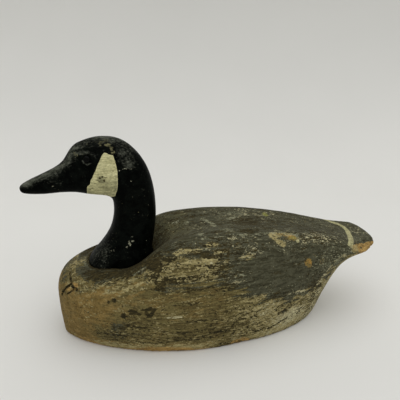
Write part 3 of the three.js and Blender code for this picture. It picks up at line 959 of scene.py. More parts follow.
BODY_MARKS: Marks = {
    Layer.EARTH: (
        # Smooth breast.
        Patch((-215, -58, 78), (42, 30, 20), 0.15),
        # Sweep of the brush.
        Stroke(
            ((-111.4, -90.3, 128.5), (-141.2, -85, 116.4), (-171.6, -81.6, 100.2), (-186.9, -77.4, 93.9)),
            5,
            0.5,
        ),
        Stroke(((-119.5, -92.9, 113.6), (-149.4, -88.5, 100.2)), 4, 0.4),
        # Between the sweeps.
        Stroke(((-112, -93, 121), (-156, -85, 103.5)), 3.5, -0.5),
        # Rubbed lower front.
        Patch((-190, -70, 12), (34, 22, 9), 0.4),
        # Smooth worn shoulder.
        Patch((-61, -93.5, 141), (24, 12, 9), 0.7),
    ),
    Layer.GRIME_AND_SHADE: (
        # Dark shoulder.
        Patch((-109.8, -78.2, 146.7), (9, 12, 6), 0.5),
        Patch((-100, -84, 147), (9, 12, 8), 0.45),
        Patch((-103, -90, 137), (8, 12, 6), 0.4),
        Patch((-97.4, -96.7, 122), (9, 12, 8), 0.6),
        Patch((-87, -96, 129), (9, 12, 5), 0.45),
        Patch((-80.5, -84.4, 156), (14, 10, 3.5), 0.45),
        # Painted shade beside the foot of the neck.
        Stroke(((-146, -69, 130.5), (-127.7, -71, 138.3), (-113, -70.5, 149), (-100, -71.5, 158)), 17, 0.42),
        # Light line beside the foot.
        Stroke(((-133, -75, 132.5), (-116, -75, 145)), 3, -0.7),
        # Bare of slate.
        Patch((-135, -86, 115), (32, 16, 13), -0.35),
        # Dark low breast.
        Patch((-158, -91, 56), (14, 14, 10), 0.12),
        # Rubbed lower front.
        Patch((-180, -76, 12), (40, 22, 9), -0.3),
        # Rubbed top of the breast.
        Patch((-222, -14, 118), (24, 46, 14), -0.6),
        Patch((-217, -50, 106), (18, 20, 10), -0.25),
        # Dark flank.
        Patch((-51, -104, 112), (20, 12, 5), 0.35),
        Patch((0, -103, 112), (20, 12, 6), 0.35),
        # Smooth worn shoulder.
        Patch((-61, -93.5, 141), (24, 12, 8), -0.35),
        # Dark under the ridge.
        Stroke(((-46, -79, 163), (-22, -80.5, 161.5)), 7, 0.35),
        Stroke(((-30, -84, 157), (6, -86, 153.5)), 6, 0.35),
        # Dark under the shoulder.
        Stroke(((-78, -97, 128), (-40, -99, 131)), 8, 0.35),
        # Painted shade in the hollow of the back.
        Patch((56, -4, 172.2), (26, 15, 6), 0.3),
        # Dark foot of the slate.
        Patch((88, -93, 83), (22, 14, 9), 0.38),
        Patch((156, -74, 88), (20, 14, 18), 0.3),
        # Dark streaks behind.
        Patch((28, -100, 36), (26, 16, 20), 0.12),
        # Dark above the pale.
        Patch((98, -91, 56), (22, 14, 12), 0.2),
        # Speckled stern.
        Patch((164, -69, 70), (18, 12, 24), 0.3),
        # Pale behind.
        Patch((100, -86, 32), (40, 16, 20), -0.2),
        # Smooth lower edge.
        Stroke(
            ((44, -98.4, 11), (76.7, -92.2, 8), (95.4, -87.7, 10), (114.9, -81.9, 13), (147, -70.4, 21)),
            8,
            -0.25,
        ),
        # Line above the edge.
        Stroke(((75.8, -93.5, 20), (110.7, -85.5, 30.5)), 2.6, 1),
        # Painted shade in the hollow above the crest.
        Patch((48, -48, 176), (16, 8, 8), 0.5),
        # Ochre show-through.
        Patch((121, -59.5, 162), (12, 9, 7), -0.9),
        # Dark spots.
        Patch((-166, -84.8, 96.4), (3.6, 5, 3.2), 1.5),
        Patch((-174.5, -82, 93.5), (2.2, 4, 2.4), 1.4),
        Patch((-142, -95.4, 81), (5, 6, 4), 1.1),
        Patch((-136.5, -97.3, 80.2), (5, 6, 3.2), 1.2),
        Patch((-130.5, -99, 77.8), (3.6, 6, 2.2), 1.2),
        Patch((-125.7, -99.2, 84.7), (2.4, 5, 1.8), 1.3),
        Patch((-154, -92.6, 74.5), (4, 6, 5), 1),
        # Dark arc on the flank.
        Stroke(((-120, -100.4, 85), (-114, -101.4, 87.4), (-107.5, -102.8, 84.5)), 5, 1.5),
        Stroke(((-120, -101.3, 80), (-114.5, -102.6, 75), (-110.5, -103, 80.5)), 5.5, 1.5),
        # Grime and painted shade inside the check.
        Stroke(((-248.8, -29.9, 79.6), *FRONT_INSIDE), 3, 1.7),
        Stroke((FRONT_INSIDE[-1], FORK_INSIDE), 4.4, 1.9),
        Stroke((FORK_INSIDE, (-228.5, -45.6, 103), (-221.5, -52.5, 101.9)), 5, 2.1),
        Stroke(((-225.3, -49.6, 101.2), (-230.9, -47.3, 96.3), (-238.3, -42.5, 89.4)), 2.6, 1.25),
        Stroke((FORK_INSIDE, (-231.4, -38.6, 109.3), (-233.3, -32, 112.3)), 2.8, 1.3),
        # Grime and painted shade inside the branch.
        Stroke(((-231.2, -43.5, 107.1), (-231.2, -37.8, 112.6), (-234.1, -22.7, 114.6)), 3.4, 2),
    ),
    Layer.SCUFF_AND_HIGHLIGHT: (
        # Light line beside the foot.
        Stroke(((-133, -75, 132.5), (-116, -75, 145)), 2, 0.6),
        # Light flecks low on the breast.
        Patch((-172, -86, 46), (26, 14, 22), 0.4),
        # Pale flakes.
        Patch((-0.5, -9.9, 173.7), (5, 11, 6), 1.2),
        Patch((36.6, 9.5, 173.2), (8, 9, 6), 0.75),
        Patch((15.5, -41.6, 178.2), (8, 7, 5), 0.75),
        Patch((-28.9, -46.9, 177.5), (8, 6, 5), 0.75),
        Patch((-59.6, 25.4, 168), (9, 8, 5), 1),
        Patch((-42.2, 14.1, 169.8), (7, 7, 5), 0.75),
        Stroke(((-14, 16, 174), (-2.9, 3.5, 173.3)), 8, 0.7),
        Stroke(((20, 30, 175.5), (56, 28.4, 174.9)), 10, 0.45),
        # Flecks beside the ridge.
        Patch((56, -72, 164), (30, 12, 11), 0.1),
        # Speckled stern.
        Patch((188, -64, 122), (34, 14, 20), 0.25),
        # Smooth slate.
        Patch((100, -88, 112), (45, 20, 24), -0.25),
        # Crest sheen: a painted highlight along the crest of the back.
        Stroke(
            ((-28, -61, 176.5), (30, -59, 176.2), (66, -57, 174), (103, -52, 170), (133, -50, 164.6)),
            9,
            0.34,
        ),
    ),
    Layer.SLATE_AND_SHADE: (
        # Bare of slate.
        Patch((-135, -86, 117), (34, 16, 13), -0.9),
        # Dark low breast.
        Patch((-166, -88, 60), (20, 14, 14), 0.75),
        Patch((-158, -90, 40), (30, 14, 16), 0.5),
        # Rubbed top of the breast.
        Patch((-224, -30, 115), (20, 30, 12), -0.3),
        # Smooth worn shoulder.
        Patch((-61, -93.5, 141), (24, 12, 9), -1.2),
        # Brown through the slate.
        Patch((168, -66, 126), (18, 12, 10), -0.6),
        # Smooth slate.
        Patch((85, -90, 122), (55, 20, 24), 0.3),
    ),
    Layer.PALE: (
        # Bare of flakes.
        Patch((-145, -84, 112), (40, 16, 15), -0.4),
        # Rubbed ridge.
        Patch((-8, -74, 169.8), (10, 6, 3), 0.35),
        # Smooth worn shoulder.
        Patch((-61, -93.5, 141), (26, 12, 9), -0.3),
        # Light top of the shoulder.
        Stroke(((-52, -88, 152), (-36, -89, 151)), 3.6, 0.4),
        # Flakes behind the shoulder.
        Patch((-10, -92, 141), (28, 14, 14), 0.12),
        # Pale flakes.
        Patch((36, -86, 151.5), (9, 7, 3), 0.45),
        Patch((20, -100, 118), (14, 5, 2.6), 0.8),
        Patch((113, -88, 80), (16, 8, 4), 0.5),
        Patch((100, -91, 94.7), (11, 8, 3), 0.6),
        Patch((130, -82.6, 76.3), (12, 8, 3.4), 0.6),
        Patch((18.1, -64.3, 175), (9, 4, 4), 0.6),
        # Flecks beside the ridge.
        Patch((56, -72, 164), (28, 12, 11), 0.1),
        # Speckled back edge.
        Patch((-75, 30, 165), (34, 24, 14), 0.25),
        # Flecks on the haunch.
        Patch((46, -80, 158), (18, 10, 7), 0.22),
        Patch((120, -70, 149), (22, 10, 6), 0.22),
        Patch((165, -52, 155), (40, 16, 14), 0.38),
        # Pale behind.
        Patch((116, -84, 32), (28, 16, 15), 0.45),
        # Dark above the pale.
        Patch((104, -90, 62), (22, 14, 13), -0.3),
        # Rubbed line round the stern.
        Stroke(STERN_LINE, 5, 0.5),
        # Speckled line round the stern.
        Stroke(((184.3, -65.6, 101.8), (174, -67.5, 88), (165, -69.5, 80)), 9, 0.5),
        # Speckled stern.
        Patch((168, -68, 68), (13, 12, 22), 0.3),
        # Smooth slate.
        Patch((85, -90, 118), (55, 20, 24), -0.3),
        # Long scratch.
        Stroke(((-95, -106, 72.6), (-68, -108.5, 72.2)), 3.2, 1.4),
        # Pale show-through.
        Patch((139, -62.5, 156), (4, 4, 3), 0.8),
    ),
    Layer.TAN: (
        # Sweep of the brush.
        Stroke(((-111.4, -90.3, 130), (-126.2, -87.1, 124), (-150, -84, 112.5)), 5, 0.4),
        # Rubbed lower front.
        Patch((-190, -70, 12), (34, 22, 9), 0.25),
        # Rubbed top of the breast.
        Patch((-216, -6, 120), (20, 38, 10), 0.25),
        Patch((-217, -50, 106), (18, 20, 10), 0.2),
        # Rubbed ridge.
        Patch((-57, -77, 166), (11, 7, 4), 0.7),
        Patch((-69, -78.3, 163.6), (8, 6, 3), 0.6),
        Patch((-40, -79, 165), (9, 6, 3.5), 0.6),
        Patch((-14, -73.5, 170.5), (12, 8, 4), 0.85),
        Patch((-2, -80, 163), (13, 7, 4), 0.85),
        Patch((-91, -86, 148), (10, 6, 4), 0.6),
        # Smooth worn shoulder.
        Patch((-61, -93.5, 141), (22, 12, 8), -0.36),
        # Light top of the shoulder.
        Stroke(((-56, -87, 152.5), (-36, -89, 151), (-20, -88, 152.5)), 7, 0.5),
        # Flakes behind the shoulder.
        Patch((-12, -88, 148), (28, 14, 16), 0.3),
        # Pale flakes.
        Patch((37, -86, 151), (15, 9, 5), 0.8),
        Patch((56, -101, 91), (16, 7, 4), 0.6),
        # Brown through the slate.
        Patch((172, -63, 132), (24, 14, 16), 0.3),
        # Rubbed line round the stern.
        Stroke(STERN_LINE, 6, 0.8),
        # Smooth lower edge.
        Stroke(
            ((44, -98.4, 12), (76.7, -92.2, 9), (95.4, -87.7, 11), (114.9, -81.9, 14), (147, -70.4, 22)),
            7,
            0.5,
        ),
        # Smooth slate.
        Patch((85, -90, 122), (55, 20, 24), -0.3),
        # Ochre show-through.
        Stroke(((86, -57, 171.4), (104, -52.5, 170.2), (119, -54, 166.9)), 12, 0.85),
        Stroke(((84.5, -59, 170.8), (92, -65.5, 165.6), (100, -69.2, 159.2)), 11.5, 1.15),
        # Tan edge of the break.
        Patch((237, -50, 129), (12, 12, 8), 1),
        Patch((-236, -41, 101), (9, 9, 8), 0.8),
    ),
    Layer.OCHRE: (
        # Ochre show-through.
        Stroke(((96, -53.5, 170.5), (121, -57, 165)), 9, 1.05),
        Patch((121, -59.5, 162.4), (11, 6.5, 5), 0.98),
        # Brown show-through.
        Patch((105, -62.5, 163.4), (12, 6.5, 5), 0.72),
        # Rust-orange spots.
        Patch((140, -75, 129), (7.5, 9, 8), 0.95),
        Patch((145.5, -73.5, 122.5), (8, 9, 9.5), 1.25),
        Patch((170, -68.1, 121.4), (12, 7, 9), 0.85),
        Patch((184, -66.1, 111), (12, 7, 6), 0.45),
    ),
    Layer.MOSS: (
        # Ochre show-through.
        Patch((120, -58.5, 163.2), (11, 7, 5), 1.15),
        # Moss-yellow spot.
        Patch((102, 27, 169.3), (7, 9, 6), 1.5),
        # Moss-green flake.
        Patch((44, -87, 148), (6, 5, 2.6), 1),
    ),
    Layer.STRIPE: (
        # Pale show-through.
        Patch((127.5, -62, 159.4), (3.6, 4, 3), 1.1),
    ),
    Layer.BARE: (
        # Bare lower edge.
        Patch((-101, -97, 3.5), (34, 18, 8), 0.95),
        Patch((-70, -101, 4), (20, 18, 6), 0.5),
        Patch((27, -97, 6), (18, 18, 7), 1),
        Patch((-212, -50, 6), (22, 22, 8), 0.6),
        Patch((-224.5, -49, 108), (7, 7, 3), 1.15),
        Patch((-236.5, -42.5, 98.5), (5, 5, 4), 1),
    ),
    Layer.BLACK: (
        # Painted shade in the depth of the check.
        Stroke((*FRONT_INSIDE, FORK_INSIDE), 2, 1.1),
        Stroke((FORK_INSIDE, (-228.5, -45.6, 103), (-224.6, -49.6, 101.5)), 3.6, 1.7),
    ),
}


# How far from the neck the body's surface still takes note of it, and the corners of the place where it does.
NECK_REACH = 40.0
NECK_PLACE: tuple[Point, Point] = ((-225.0, -75.0, 95.0), (-60.0, 75.0, 200.0))


@dataclass
class DecoyBody(CarvedBlock):
    """The hollow-backed, flat-bottomed body with its broad tail, broken away at the left corner.

    Attributes:
        slate_edge: how high the slate coat comes down at each station along the body.
        shoulder: the ridge from the breast to the back, where the paint is worn.
        break_point: a place on the broken face of the tail.
        break_out: the way that the broken face looks.
        tail_band: the middle of the pale band round the tail, in plan.
        band_width: how wide the band is.
        sink: how far the wood is sunk behind the foot of the neck.
        sink_reach: how far from the neck that goes.
        tail_corner: how far the tail's far corner is carried out.
        ripple: how high the knife's facets are.
        bead: how high the filler round the neck stands.
        tear: how rough the torn face of the tail is.
        chip: how deep the lower edge is chipped.
    """

    node: str = "body"
    piece: str = "carved_body"
    slot: str = "body_paint"
    facet: float = 2.2
    sharp: float = 35.0
    fairing: int = 5
    finish: PaintedWood = BODY_FINISH
    weathering: Weathering = Weathering((38.0, 3.2, 3.6), 0.16, 1500.0, 3.0, 0.35, 4)
    slate_edge: tuple[tuple[float, float], ...] = (
        (-260, 106), (-235, 106), (-202, 104), (-179, 111), (-156, 121), (-129, 132), (-114, 134),
        (-102, 121), (-90, 118), (-40, 115), (-15, 116), (2, 111), (23, 106), (39, 101), (51, 95), (60, 88),
        (70, 79), (83, 71), (100, 70), (114, 68), (145, 65), (154, 66), (165, 70), (178, 80), (194, 93),
        (215, 106), (294, 112),
    )
    shoulder: tuple[Point, ...] = (
        (-202.4, -71, 89.5), (-178.9, -78, 102.2), (-155.9, -80.1, 114.9), (-128.7, -83.2, 127.7),
        (-110.5, -83.7, 139.8), (-95.3, -83.5, 150), (-72.3, -79.2, 162.2), (-56.7, -75.9, 167.3),
        (-21.2, -73.7, 170.4), (6.4, -67, 174),
    )
    break_point: Point = (264.94, -40.0, 118.1)
    break_out: Point = (0.527, -0.627, 0.574)
    tail_band: tuple[Point, ...] = (
        (217, 62, 0), (225, 48, 0), (236, 37, 0), (248, 31, 0), (253.5, 22, 0), (252.5, 6, 0),
        (244.5, -17, 0), (232.5, -43, 0), (225, -55, 0), (222, -66, 0),
    )
    band_width: float = 8.8
    sink: float = 7.5
    sink_reach: float = 17.0
    tail_corner: float = 5.0
    ripple: float = 0.35
    bead: float = 0.7
    tear: float = 0.9
    chip: float = 1.4
    grooves: tuple[Groove, ...] = (
        # The check in the breast.
        Groove(
            ((-250.1, -30.7, 79.7), (-246.3, -34.6, 89.3), (-240.2, -38.7, 98.7), CHECK_FORK),
            4.4,
            3.8,
            Cut.SPLIT,
        ),
        # Its branch up towards the neck.
        Groove(
            (CHECK_FORK, (-232.3, -39.5, 110.1), (-234.2, -32.6, 113.3), (-233.5, -10.9, 116.7)),
            3.6,
            2.8,
            Cut.SPLIT,
        ),
        # Its toe, and its heel back along the breast.
        Groove((CHECK_FORK, (-229.7, -46.9, 103.7), CHECK_TOE, (-222.5, -53.9, 102.5)), 5.2, 4.2, Cut.SPLIT),
        Groove((CHECK_TOE, (-231.8, -48.3, 96.7), (-239.2, -43.3, 89.6)), 3.6, 2.6, Cut.SPLIT),
        # The chip beside it.
        Groove(((-236, -43, 103.5), (-227.5, -48.5, 108.5)), 9.0, 1.5),
        # The knot in the broken tail.
        Groove(((254.5, -44, 124.8), (257.5, -41, 124)), 6.0, 1.6),
    )
    marks: Marks = field(default_factory=BODY_MARKS.copy)

    def _neck_gap(self, points: np.ndarray) -> np.ndarray:
        """Measures how far each place is from the neck.

        Args:
            points: places, one a row.

        Returns:
            The distance of each, and NECK_REACH where it is further or outside NECK_PLACE.
        """
        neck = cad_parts["head_and_neck"].data
        tree = BVHTree.FromPolygons([v.co for v in neck.vertices], [p.vertices[:] for p in neck.polygons])
        low, high = np.array(NECK_PLACE)
        near = ((points > low) & (points < high)).all(axis=1)
        gap = np.full(len(points), NECK_REACH)
        for i in np.flatnonzero(near):
            found = tree.find_nearest(Vector(points[i] * MM), NECK_REACH * MM)
            if found[0] is not None:
                gap[i] = found[3] / MM
        return gap

    def _broken(self, points: np.ndarray) -> np.ndarray:
        """Gives 1 on the broken face of the tail and 0 elsewhere."""
        depth = (points - np.array(self.break_point)) @ np.array(self.break_out)
        return smoothstep(-2.6, -1.4, depth) * (points[:, 0] > 225.0)

    def reshape(self, points: np.ndarray) -> np.ndarray:
        """Sinks the wood behind and beside the foot of the neck, and carries out the tail's far corner.

        Args:
            points: the blank's places.

        Returns:
            Where each is moved to.
        """
        x, y, z = points.T
        near = np.exp(-((self._neck_gap(points) / self.sink_reach) ** 2))
        corner = smoothstep(255.0, 285.0, x) * np.exp(-(((y - 8.0) / 26.0) ** 2))
        moved = points.copy()
        moved[:, 0] += self.tail_corner * corner
        moved[:, 2] -= self.sink * near * smoothstep(-176.0, -138.0, x) * np.clip((z - 121.0) / 9.0, 0.0, 1.0)
        return moved

    def relief(self, points: np.ndarray, outward: np.ndarray) -> np.ndarray:
        """Adds the knife's facets, the filler at the neck, the torn tail and the chipped lower edge.

        Args:
            points: the piece's places.
            outward: the way out at each.

        Returns:
            The rise at each place, below zero where wood is gone.
        """
        total = super().relief(points, outward)
        total += self.ripple * Unevenness((60.0, 20.0, 20.0), 11).at(points)
        gap = self._neck_gap(points)
        bead = np.exp(-(((gap - 2.4) / 1.2) ** 2)) * (1.0 + 0.7 * Unevenness((9.0, 9.0, 9.0), 12).at(points))
        total += self.bead * bead
        torn = Unevenness((14.0, 5.0, 5.0), 13).at(points) + 0.6 * Unevenness((5.0, 2.5, 2.5), 14).at(points)
        total += self._broken(points) * (self.tear * torn - 0.4)
        chips = smoothstep(0.25, 0.7, Unevenness((16.0, 16.0, 9.0), 15).at(points))
        total -= self.chip * chips * smoothstep(9.0, 2.0, points[:, 2]) * (outward[:, 2] > -0.8)
        return total

    def covers(self, points: np.ndarray, outward: np.ndarray) -> dict[Layer, np.ndarray]:
        """Lays out the field paint by height, station and side.

        Args:
            points: the piece's places.
            outward: the way out at each.

        Returns:
            Each layer's cover at each place.
        """
        x, y, z = points.T
        up = outward[:, 2]
        broad = Unevenness((85.0, 28.0, 24.0), 21, 2).at(points)
        streak = Unevenness((62.0, 6.0, 4.5), 22, 3).at(points)
        cloud = Unevenness((24.0, 16.0, 14.0), 23, 2).at(points)
        stations, heights = np.array(self.slate_edge).T
        above = z - np.interp(x, stations, heights)
        gap = self._neck_gap(points)

        covers = {layer: np.zeros(len(points)) for layer in Layer if layer is not Layer.CHEEK}
        left = np.ones(len(points))
        upper = smoothstep(-13.0, 13.0, above + 17.0 * streak + 9.0 * broad)
        for zone, share in self.zones(points, outward, upper, gap).items():
            for layer, cover in covers.items():
                cover += left * share * WEAR[zone].get(layer, UNNAMED)
            left = left * (1.0 - share)

        # The places that are worn or kept in their own way, whatever zone they are in.
        ridge = np.exp(-((distance_to_path(np.c_[x, -np.abs(y), z], self.shoulder) / 13.0) ** 2))
        hollow = np.exp(-(((x + 68.0) / 34.0) ** 4) - (y / 60.0) ** 4) * smoothstep(0.3, 0.7, up)
        from_band = distance_to_path(np.c_[x, y, np.zeros(len(x))], self.tail_band)
        worn_edge = smoothstep(24.0, 10.0, z) * smoothstep(-165.0, -125.0, x) * smoothstep(-10.0, -50.0, x)
        worn_edge += 0.6 * smoothstep(16.0, 5.0, z) * smoothstep(-120.0, -150.0, x)
        torn = self._broken(points) * (z < 137.0 - 0.238 * (x - 228.7) + 1.5 * cloud)
        pale_seam = np.exp(-(((gap - 5.5) / 1.2) ** 2)) * (1.0 + cloud)
        clean_seam = np.exp(-(((gap - 7.0) / 1.3) ** 2)) * (1.0 + 0.8 * cloud) * (x < -110.0)
        for place, added in (
            (broad, {Layer.SLATE_AND_SHADE: 0.20, Layer.GRIME_AND_SHADE: 0.12}),
            (streak, {Layer.SLATE_AND_SHADE: 0.20, Layer.TAN: 0.14, Layer.GRIME_AND_SHADE: 0.26, Layer.SCUFF_AND_HIGHLIGHT: 0.16}),
            (cloud, {Layer.EARTH: 0.25, Layer.TAN: 0.24, Layer.PALE: 0.20, Layer.SCUFF_AND_HIGHLIGHT: 0.14}),
            (ridge, {Layer.SLATE_AND_SHADE: -0.10, Layer.TAN: 0.15}),
            (hollow, {Layer.PALE: -0.35, Layer.SCUFF_AND_HIGHLIGHT: -0.45}),
            (worn_edge, {Layer.EARTH: 0.7, Layer.TAN: 0.6, Layer.GRIME_AND_SHADE: -0.6}),
            (torn, {Layer.GRIME_AND_SHADE: -0.5}),
            (pale_seam, {Layer.PALE: 0.25}),
            (clean_seam, {Layer.SCUFF_AND_HIGHLIGHT: 0.15, Layer.GRIME_AND_SHADE: -0.9}),
            # Painted shade in the crevice against the neck.
            (smoothstep(8.0, 3.0, gap), {Layer.GRIME_AND_SHADE: 0.5}),
            (np.exp(-((from_band / 6.0) ** 4)), {Layer.GRIME_AND_SHADE: -0.5}),
            (smoothstep(205.0, 235.0, x) * (up > 0.0), {Layer.GRIME_AND_SHADE: -0.18}),
        ):
            for layer, amount in added.items():
                covers[layer] += amount * place

        # The layers that lie in places of their own.
        band = np.clip(0.5 + (self.band_width / 2 - from_band) / 2.0, -0.2, 1.0)
        under = smoothstep(-0.75, -0.9, up)
        bare = -0.5 + 0.62 * smoothstep(7.0, 1.5, z) * (1.0 + cloud) + 0.86 * worn_edge + 1.3 * under
        touched = np.clip(0.5 + (4.0 - gap) / 2.5, -0.5, 1.2)
        covers[Layer.FIELD] = np.full(len(points), 1.1)
        covers[Layer.DUST_AND_SHEEN] = -0.2 + 0.95 * hollow + 0.25 * cloud
        covers[Layer.STRIPE] = band * (up > 0.15) * smoothstep(-57.0, -51.0, y)
        covers[Layer.STRIPE] += 0.10 * cloud * (from_band < 6.0)
        covers[Layer.BARE] = np.maximum(bare, torn * (0.42 + 0.8 * smoothstep(241.0, 255.0, x)))
        covers[Layer.BLACK] = touched * (z > 112.0) * smoothstep(-172.0, -150.0, x)
        return covers

    def zones(
        self, points: np.ndarray, outward: np.ndarray, upper: np.ndarray, gap: np.ndarray
    ) -> dict[Zone, np.ndarray]:
        """Says where each zone lies, each taking its share of what the ones before it leave.

        Args:
            points: the piece's places.
            outward: the way out at each.
            upper: 1 where the slate coat came down to, 0 below it.
            gap: how far each place is from the neck.

        Returns:
            Each zone's share at each place, from 0 to 1.
        """
        x, y, z = points.T
        up = outward[:, 2]
        flat = smoothstep(0.35, 0.8, up)
        round_to = 0.36 * smoothstep(52.0, 86.0, z)
        under = smoothstep(-0.08, -0.28, up + round_to)
        turned = np.maximum(under, smoothstep(0.36, 0.5, outward[:, 0] - round_to))
        beside = smoothstep(6.0, 34.0, np.abs(y)) * smoothstep(-98.0, -118.0, x)
        along = smoothstep(-120.0, -104.0, x) * smoothstep(10.0, -30.0, x) * (1.0 - 0.7 * flat)
        front = np.maximum(smoothstep(36.0, 60.0, z), smoothstep(-185.0, -215.0, x))
        return {
            Zone.RING: smoothstep(32.0, 18.0, gap) * (0.3 + 0.7 * beside),
            Zone.STERN: turned * smoothstep(115.0, 150.0, x),
            Zone.BREAST_TOP: upper * smoothstep(-115.0, -150.0, x),
            Zone.SHOULDER: along * smoothstep(122.0, 130.0, z) * smoothstep(170.0, 155.0, z),
            Zone.BACK: upper * flat,
            Zone.REAR_SIDE: upper * smoothstep(-5.0, 45.0, x),
            Zone.SIDE: upper,
            Zone.BREAST: smoothstep(-140.0, -195.0, x) * front,
            Zone.REAR_LOW: smoothstep(-20.0, 80.0, x),
            Zone.LOW_FLANK: smoothstep(82.0, 58.0, z),
            Zone.FLANK: np.ones(len(points)),
        }

    def settle(self, piece: bpy.types.Object) -> None:
        """Leaves the piece inside the solid's own box, on a flat underside.

        Args:
            piece: the carved piece.
        """
        super().settle(piece)
        points, outward = read_points(piece.data)
        flat = (points[:, 2] < 1.2) & (outward[:, 2] < -0.85)
        points[flat, 2] = 0.0
        write_points(piece.data, points)


def inside_outline(x: np.ndarray, z: np.ndarray, outline: tuple[tuple[float, float], ...]) -> np.ndarray:
    """Measures how far inside a closed outline each place is, seen from the side.

    Args:
        x: how far along each place is.
        z: how high each place is.
        outline: the outline's corners as length and height, in order.

    Returns:
        The distance to the outline, below zero outside it.
    """
    places = np.c_[x, np.zeros(len(x)), z]
    ring = tuple((px, 0.0, pz) for px, pz in outline + outline[:1])
    away = distance_to_path(places, ring)
    inside = np.zeros(len(x), bool)
    for (x0, _, z0), (x1, _, z1) in zip(ring[:-1], ring[1:]):
        spans = (z0 > z) != (z1 > z)
        crossing = x0 + (z - z0) / ((z1 - z0) or 1e-9) * (x1 - x0)
        inside ^= spans & (x < crossing)
    return np.where(inside, away, -away)


HEAD_MARKS: Marks = {
    Layer.EARTH: (
        # Worn spot over the cheek.
        Stroke(((-160, -19, 317.5), (-154, -21.8, 312.8), (-152.5, -24.5, 307.5)), 7.5, 1),
        Patch((-167, -18.5, 316.5), (7, 7, 3.5), 0.5),
        # Dark spot over the cheek.
        Patch((-162, -22.3, 312.5), (4.5, 6, 3.5), -1.2),
        # Rubbed crown.
        Stroke(((-171, -16, 320.9), (-160, -12, 324)), 4, 0.6),
        Patch((-168, -14, 321.5), (20, 9, 5), 0.16),
        # Rubbed forehead.
        Patch((-205, -17.5, 306), (5, 9, 6), 0.45),
        Patch((-209.5, -15.5, 304.5), (6, 9, 6), 0.3),
    ),
    Layer.DUST_AND_SHEEN: (
        # Painted sheen along the crown.
        Patch((-160, -6, 325.5), (26, 8, 4), 0.35),
        # Rubbed forehead.
        Patch((-207, -13, 309.5), (12, 12, 10), 0.62),
        # Painted sheen on the knife facets behind the cheek.
        Patch((-135, -24, 297), (14, 14, 14), 0.62),
        Patch((-128, -24, 286), (12, 13, 6), 0.3),
        Patch((-144, -21.5, 307), (8, 8, 7), 0.45),
        # Painted sheen on the nape.
        Patch((-118, -24, 262), (18, 13, 26), 0.2),
        # Painted highlight along the bill's ridge.
        Stroke(
            (
                (-285.5, -4.5, 261.4), (-269, -4.5, 269.4), (-246.4, -5.2, 279.2), (-230.8, -10.3, 286),
                (-212, -18, 298),
            ),
            20,
            0.5,
        ),
        Stroke(
            (
                (-285.5, -6, 261), (-269, -6, 268.4), (-246.4, -6.5, 278.2), (-230.8, -10.3, 286),
                (-214, -16, 297),
            ),
            9,
            0.6,
        ),
        # Painted highlight on the tip of the bill.
        Patch((-280, -7, 262), (12, 8, 5), 0.4),
        # Rubbed side of the bill.
        Patch((-240, -16, 270), (30, 8, 12), 0.3),
        # Painted highlight on the lower lid.
        Stroke(((-196.5, -24.5, 298), (-195, -26.2, 294.8), (-190, -27.6, 292.2), (-184, -28, 294)), 2.4, 1),
        # Painted highlight along the brow.
        Stroke(((-199, -20, 306), (-188, -21.5, 307.5), (-178, -24.5, 304)), 2.6, 1),
        # Speckled foot of the neck.
        Patch((-186, -20, 144), (22, 26, 22), 0.36),
    ),
    Layer.SCUFF_AND_HIGHLIGHT: (
        # Scratch behind the cheek.
        Stroke(((-148.2, -30.1, 281), (-137.6, -28.6, 284), (-128, -26.5, 282)), 2.2, 0.8),
        # Glint on the lid.
        Patch((-190.5, -24.5, 301.5), (2.4, 3, 1.2), 0.8),
        # Scuffs.
        Patch((-141.8, -35.5, 158.5), (2.4, 4, 2.6), 1.1),
        Patch((-137.6, -34.6, 163.2), (2.6, 4, 3.4), 1.2),
        Patch((-132.4, -33.4, 167.8), (3.6, 4, 1.8), 1.2),
        Patch((-134.1, -32.3, 174.2), (2.6, 4, 1.8), 0.9),
        Patch((-138.5, -34, 168.5), (2, 4, 2.6), 0.8),
        Patch((-162.6, -32.7, 153.6), (2, 4, 1.8), 0.85),
        Patch((-166.9, -32, 153), (1.4, 4, 1.4), 1),
        Patch((-129.6, -28.6, 264.7), (1.3, 4, 1.6), 0.85),
        Patch((-130.7, -28, 230.4), (2, 4, 1.1), 0.75),
        Patch((-105.1, -23.2, 222.2), (1.2, 4, 1.7), 0.7),
        Patch((-111.3, -28.1, 164.5), (1.4, 4, 2), 0.9),
        Patch((-242.2, -16, 258.5), (3, 4, 1.2), 1),
        # Speckled foot of the neck.
        Patch((-186, -20, 144), (22, 26, 18), 0.3),
    ),
    Layer.SLATE_AND_SHADE: (
        # Chip in the cheek.
        Patch((-172.5, -30.7, 269.5), (6, 6, 5.5), 1),
    ),
    Layer.GRIME_AND_SHADE: (
        # Edge of the chip.
        Patch((-176.8, -30.3, 267.2), (3.2, 6, 1.5), 0.85),
        Patch((-174, -30.6, 271.5), (1.7, 6, 2.6), 0.8),
        Patch((-170.6, -30.8, 274), (1.8, 6, 1.8), 0.7),
        Patch((-168.2, -30.7, 268.5), (1.3, 6, 2.4), 0.7),
        # Dark dot.
        Patch((-154.5, -31.5, 281.5), (1.3, 4, 1), 1.1),
        # Grimy corner of the cheek.
        Patch((-190, -27.5, 255), (7, 6, 7), 0.3),
        # Cracks in the cheek.
        Stroke(((-181, -30, 271.5), (-150, -32, 273)), 0.9, 0.42),
        Stroke(((-186, -29.5, 264), (-151, -32, 266.5)), 0.9, 0.42),
        Stroke(((-191, -28.5, 256.5), (-152, -32, 257.5)), 1, 0.5),
        Stroke(((-175, -30.5, 290), (-154, -31, 291.5)), 0.9, 0.36),
    ),
}


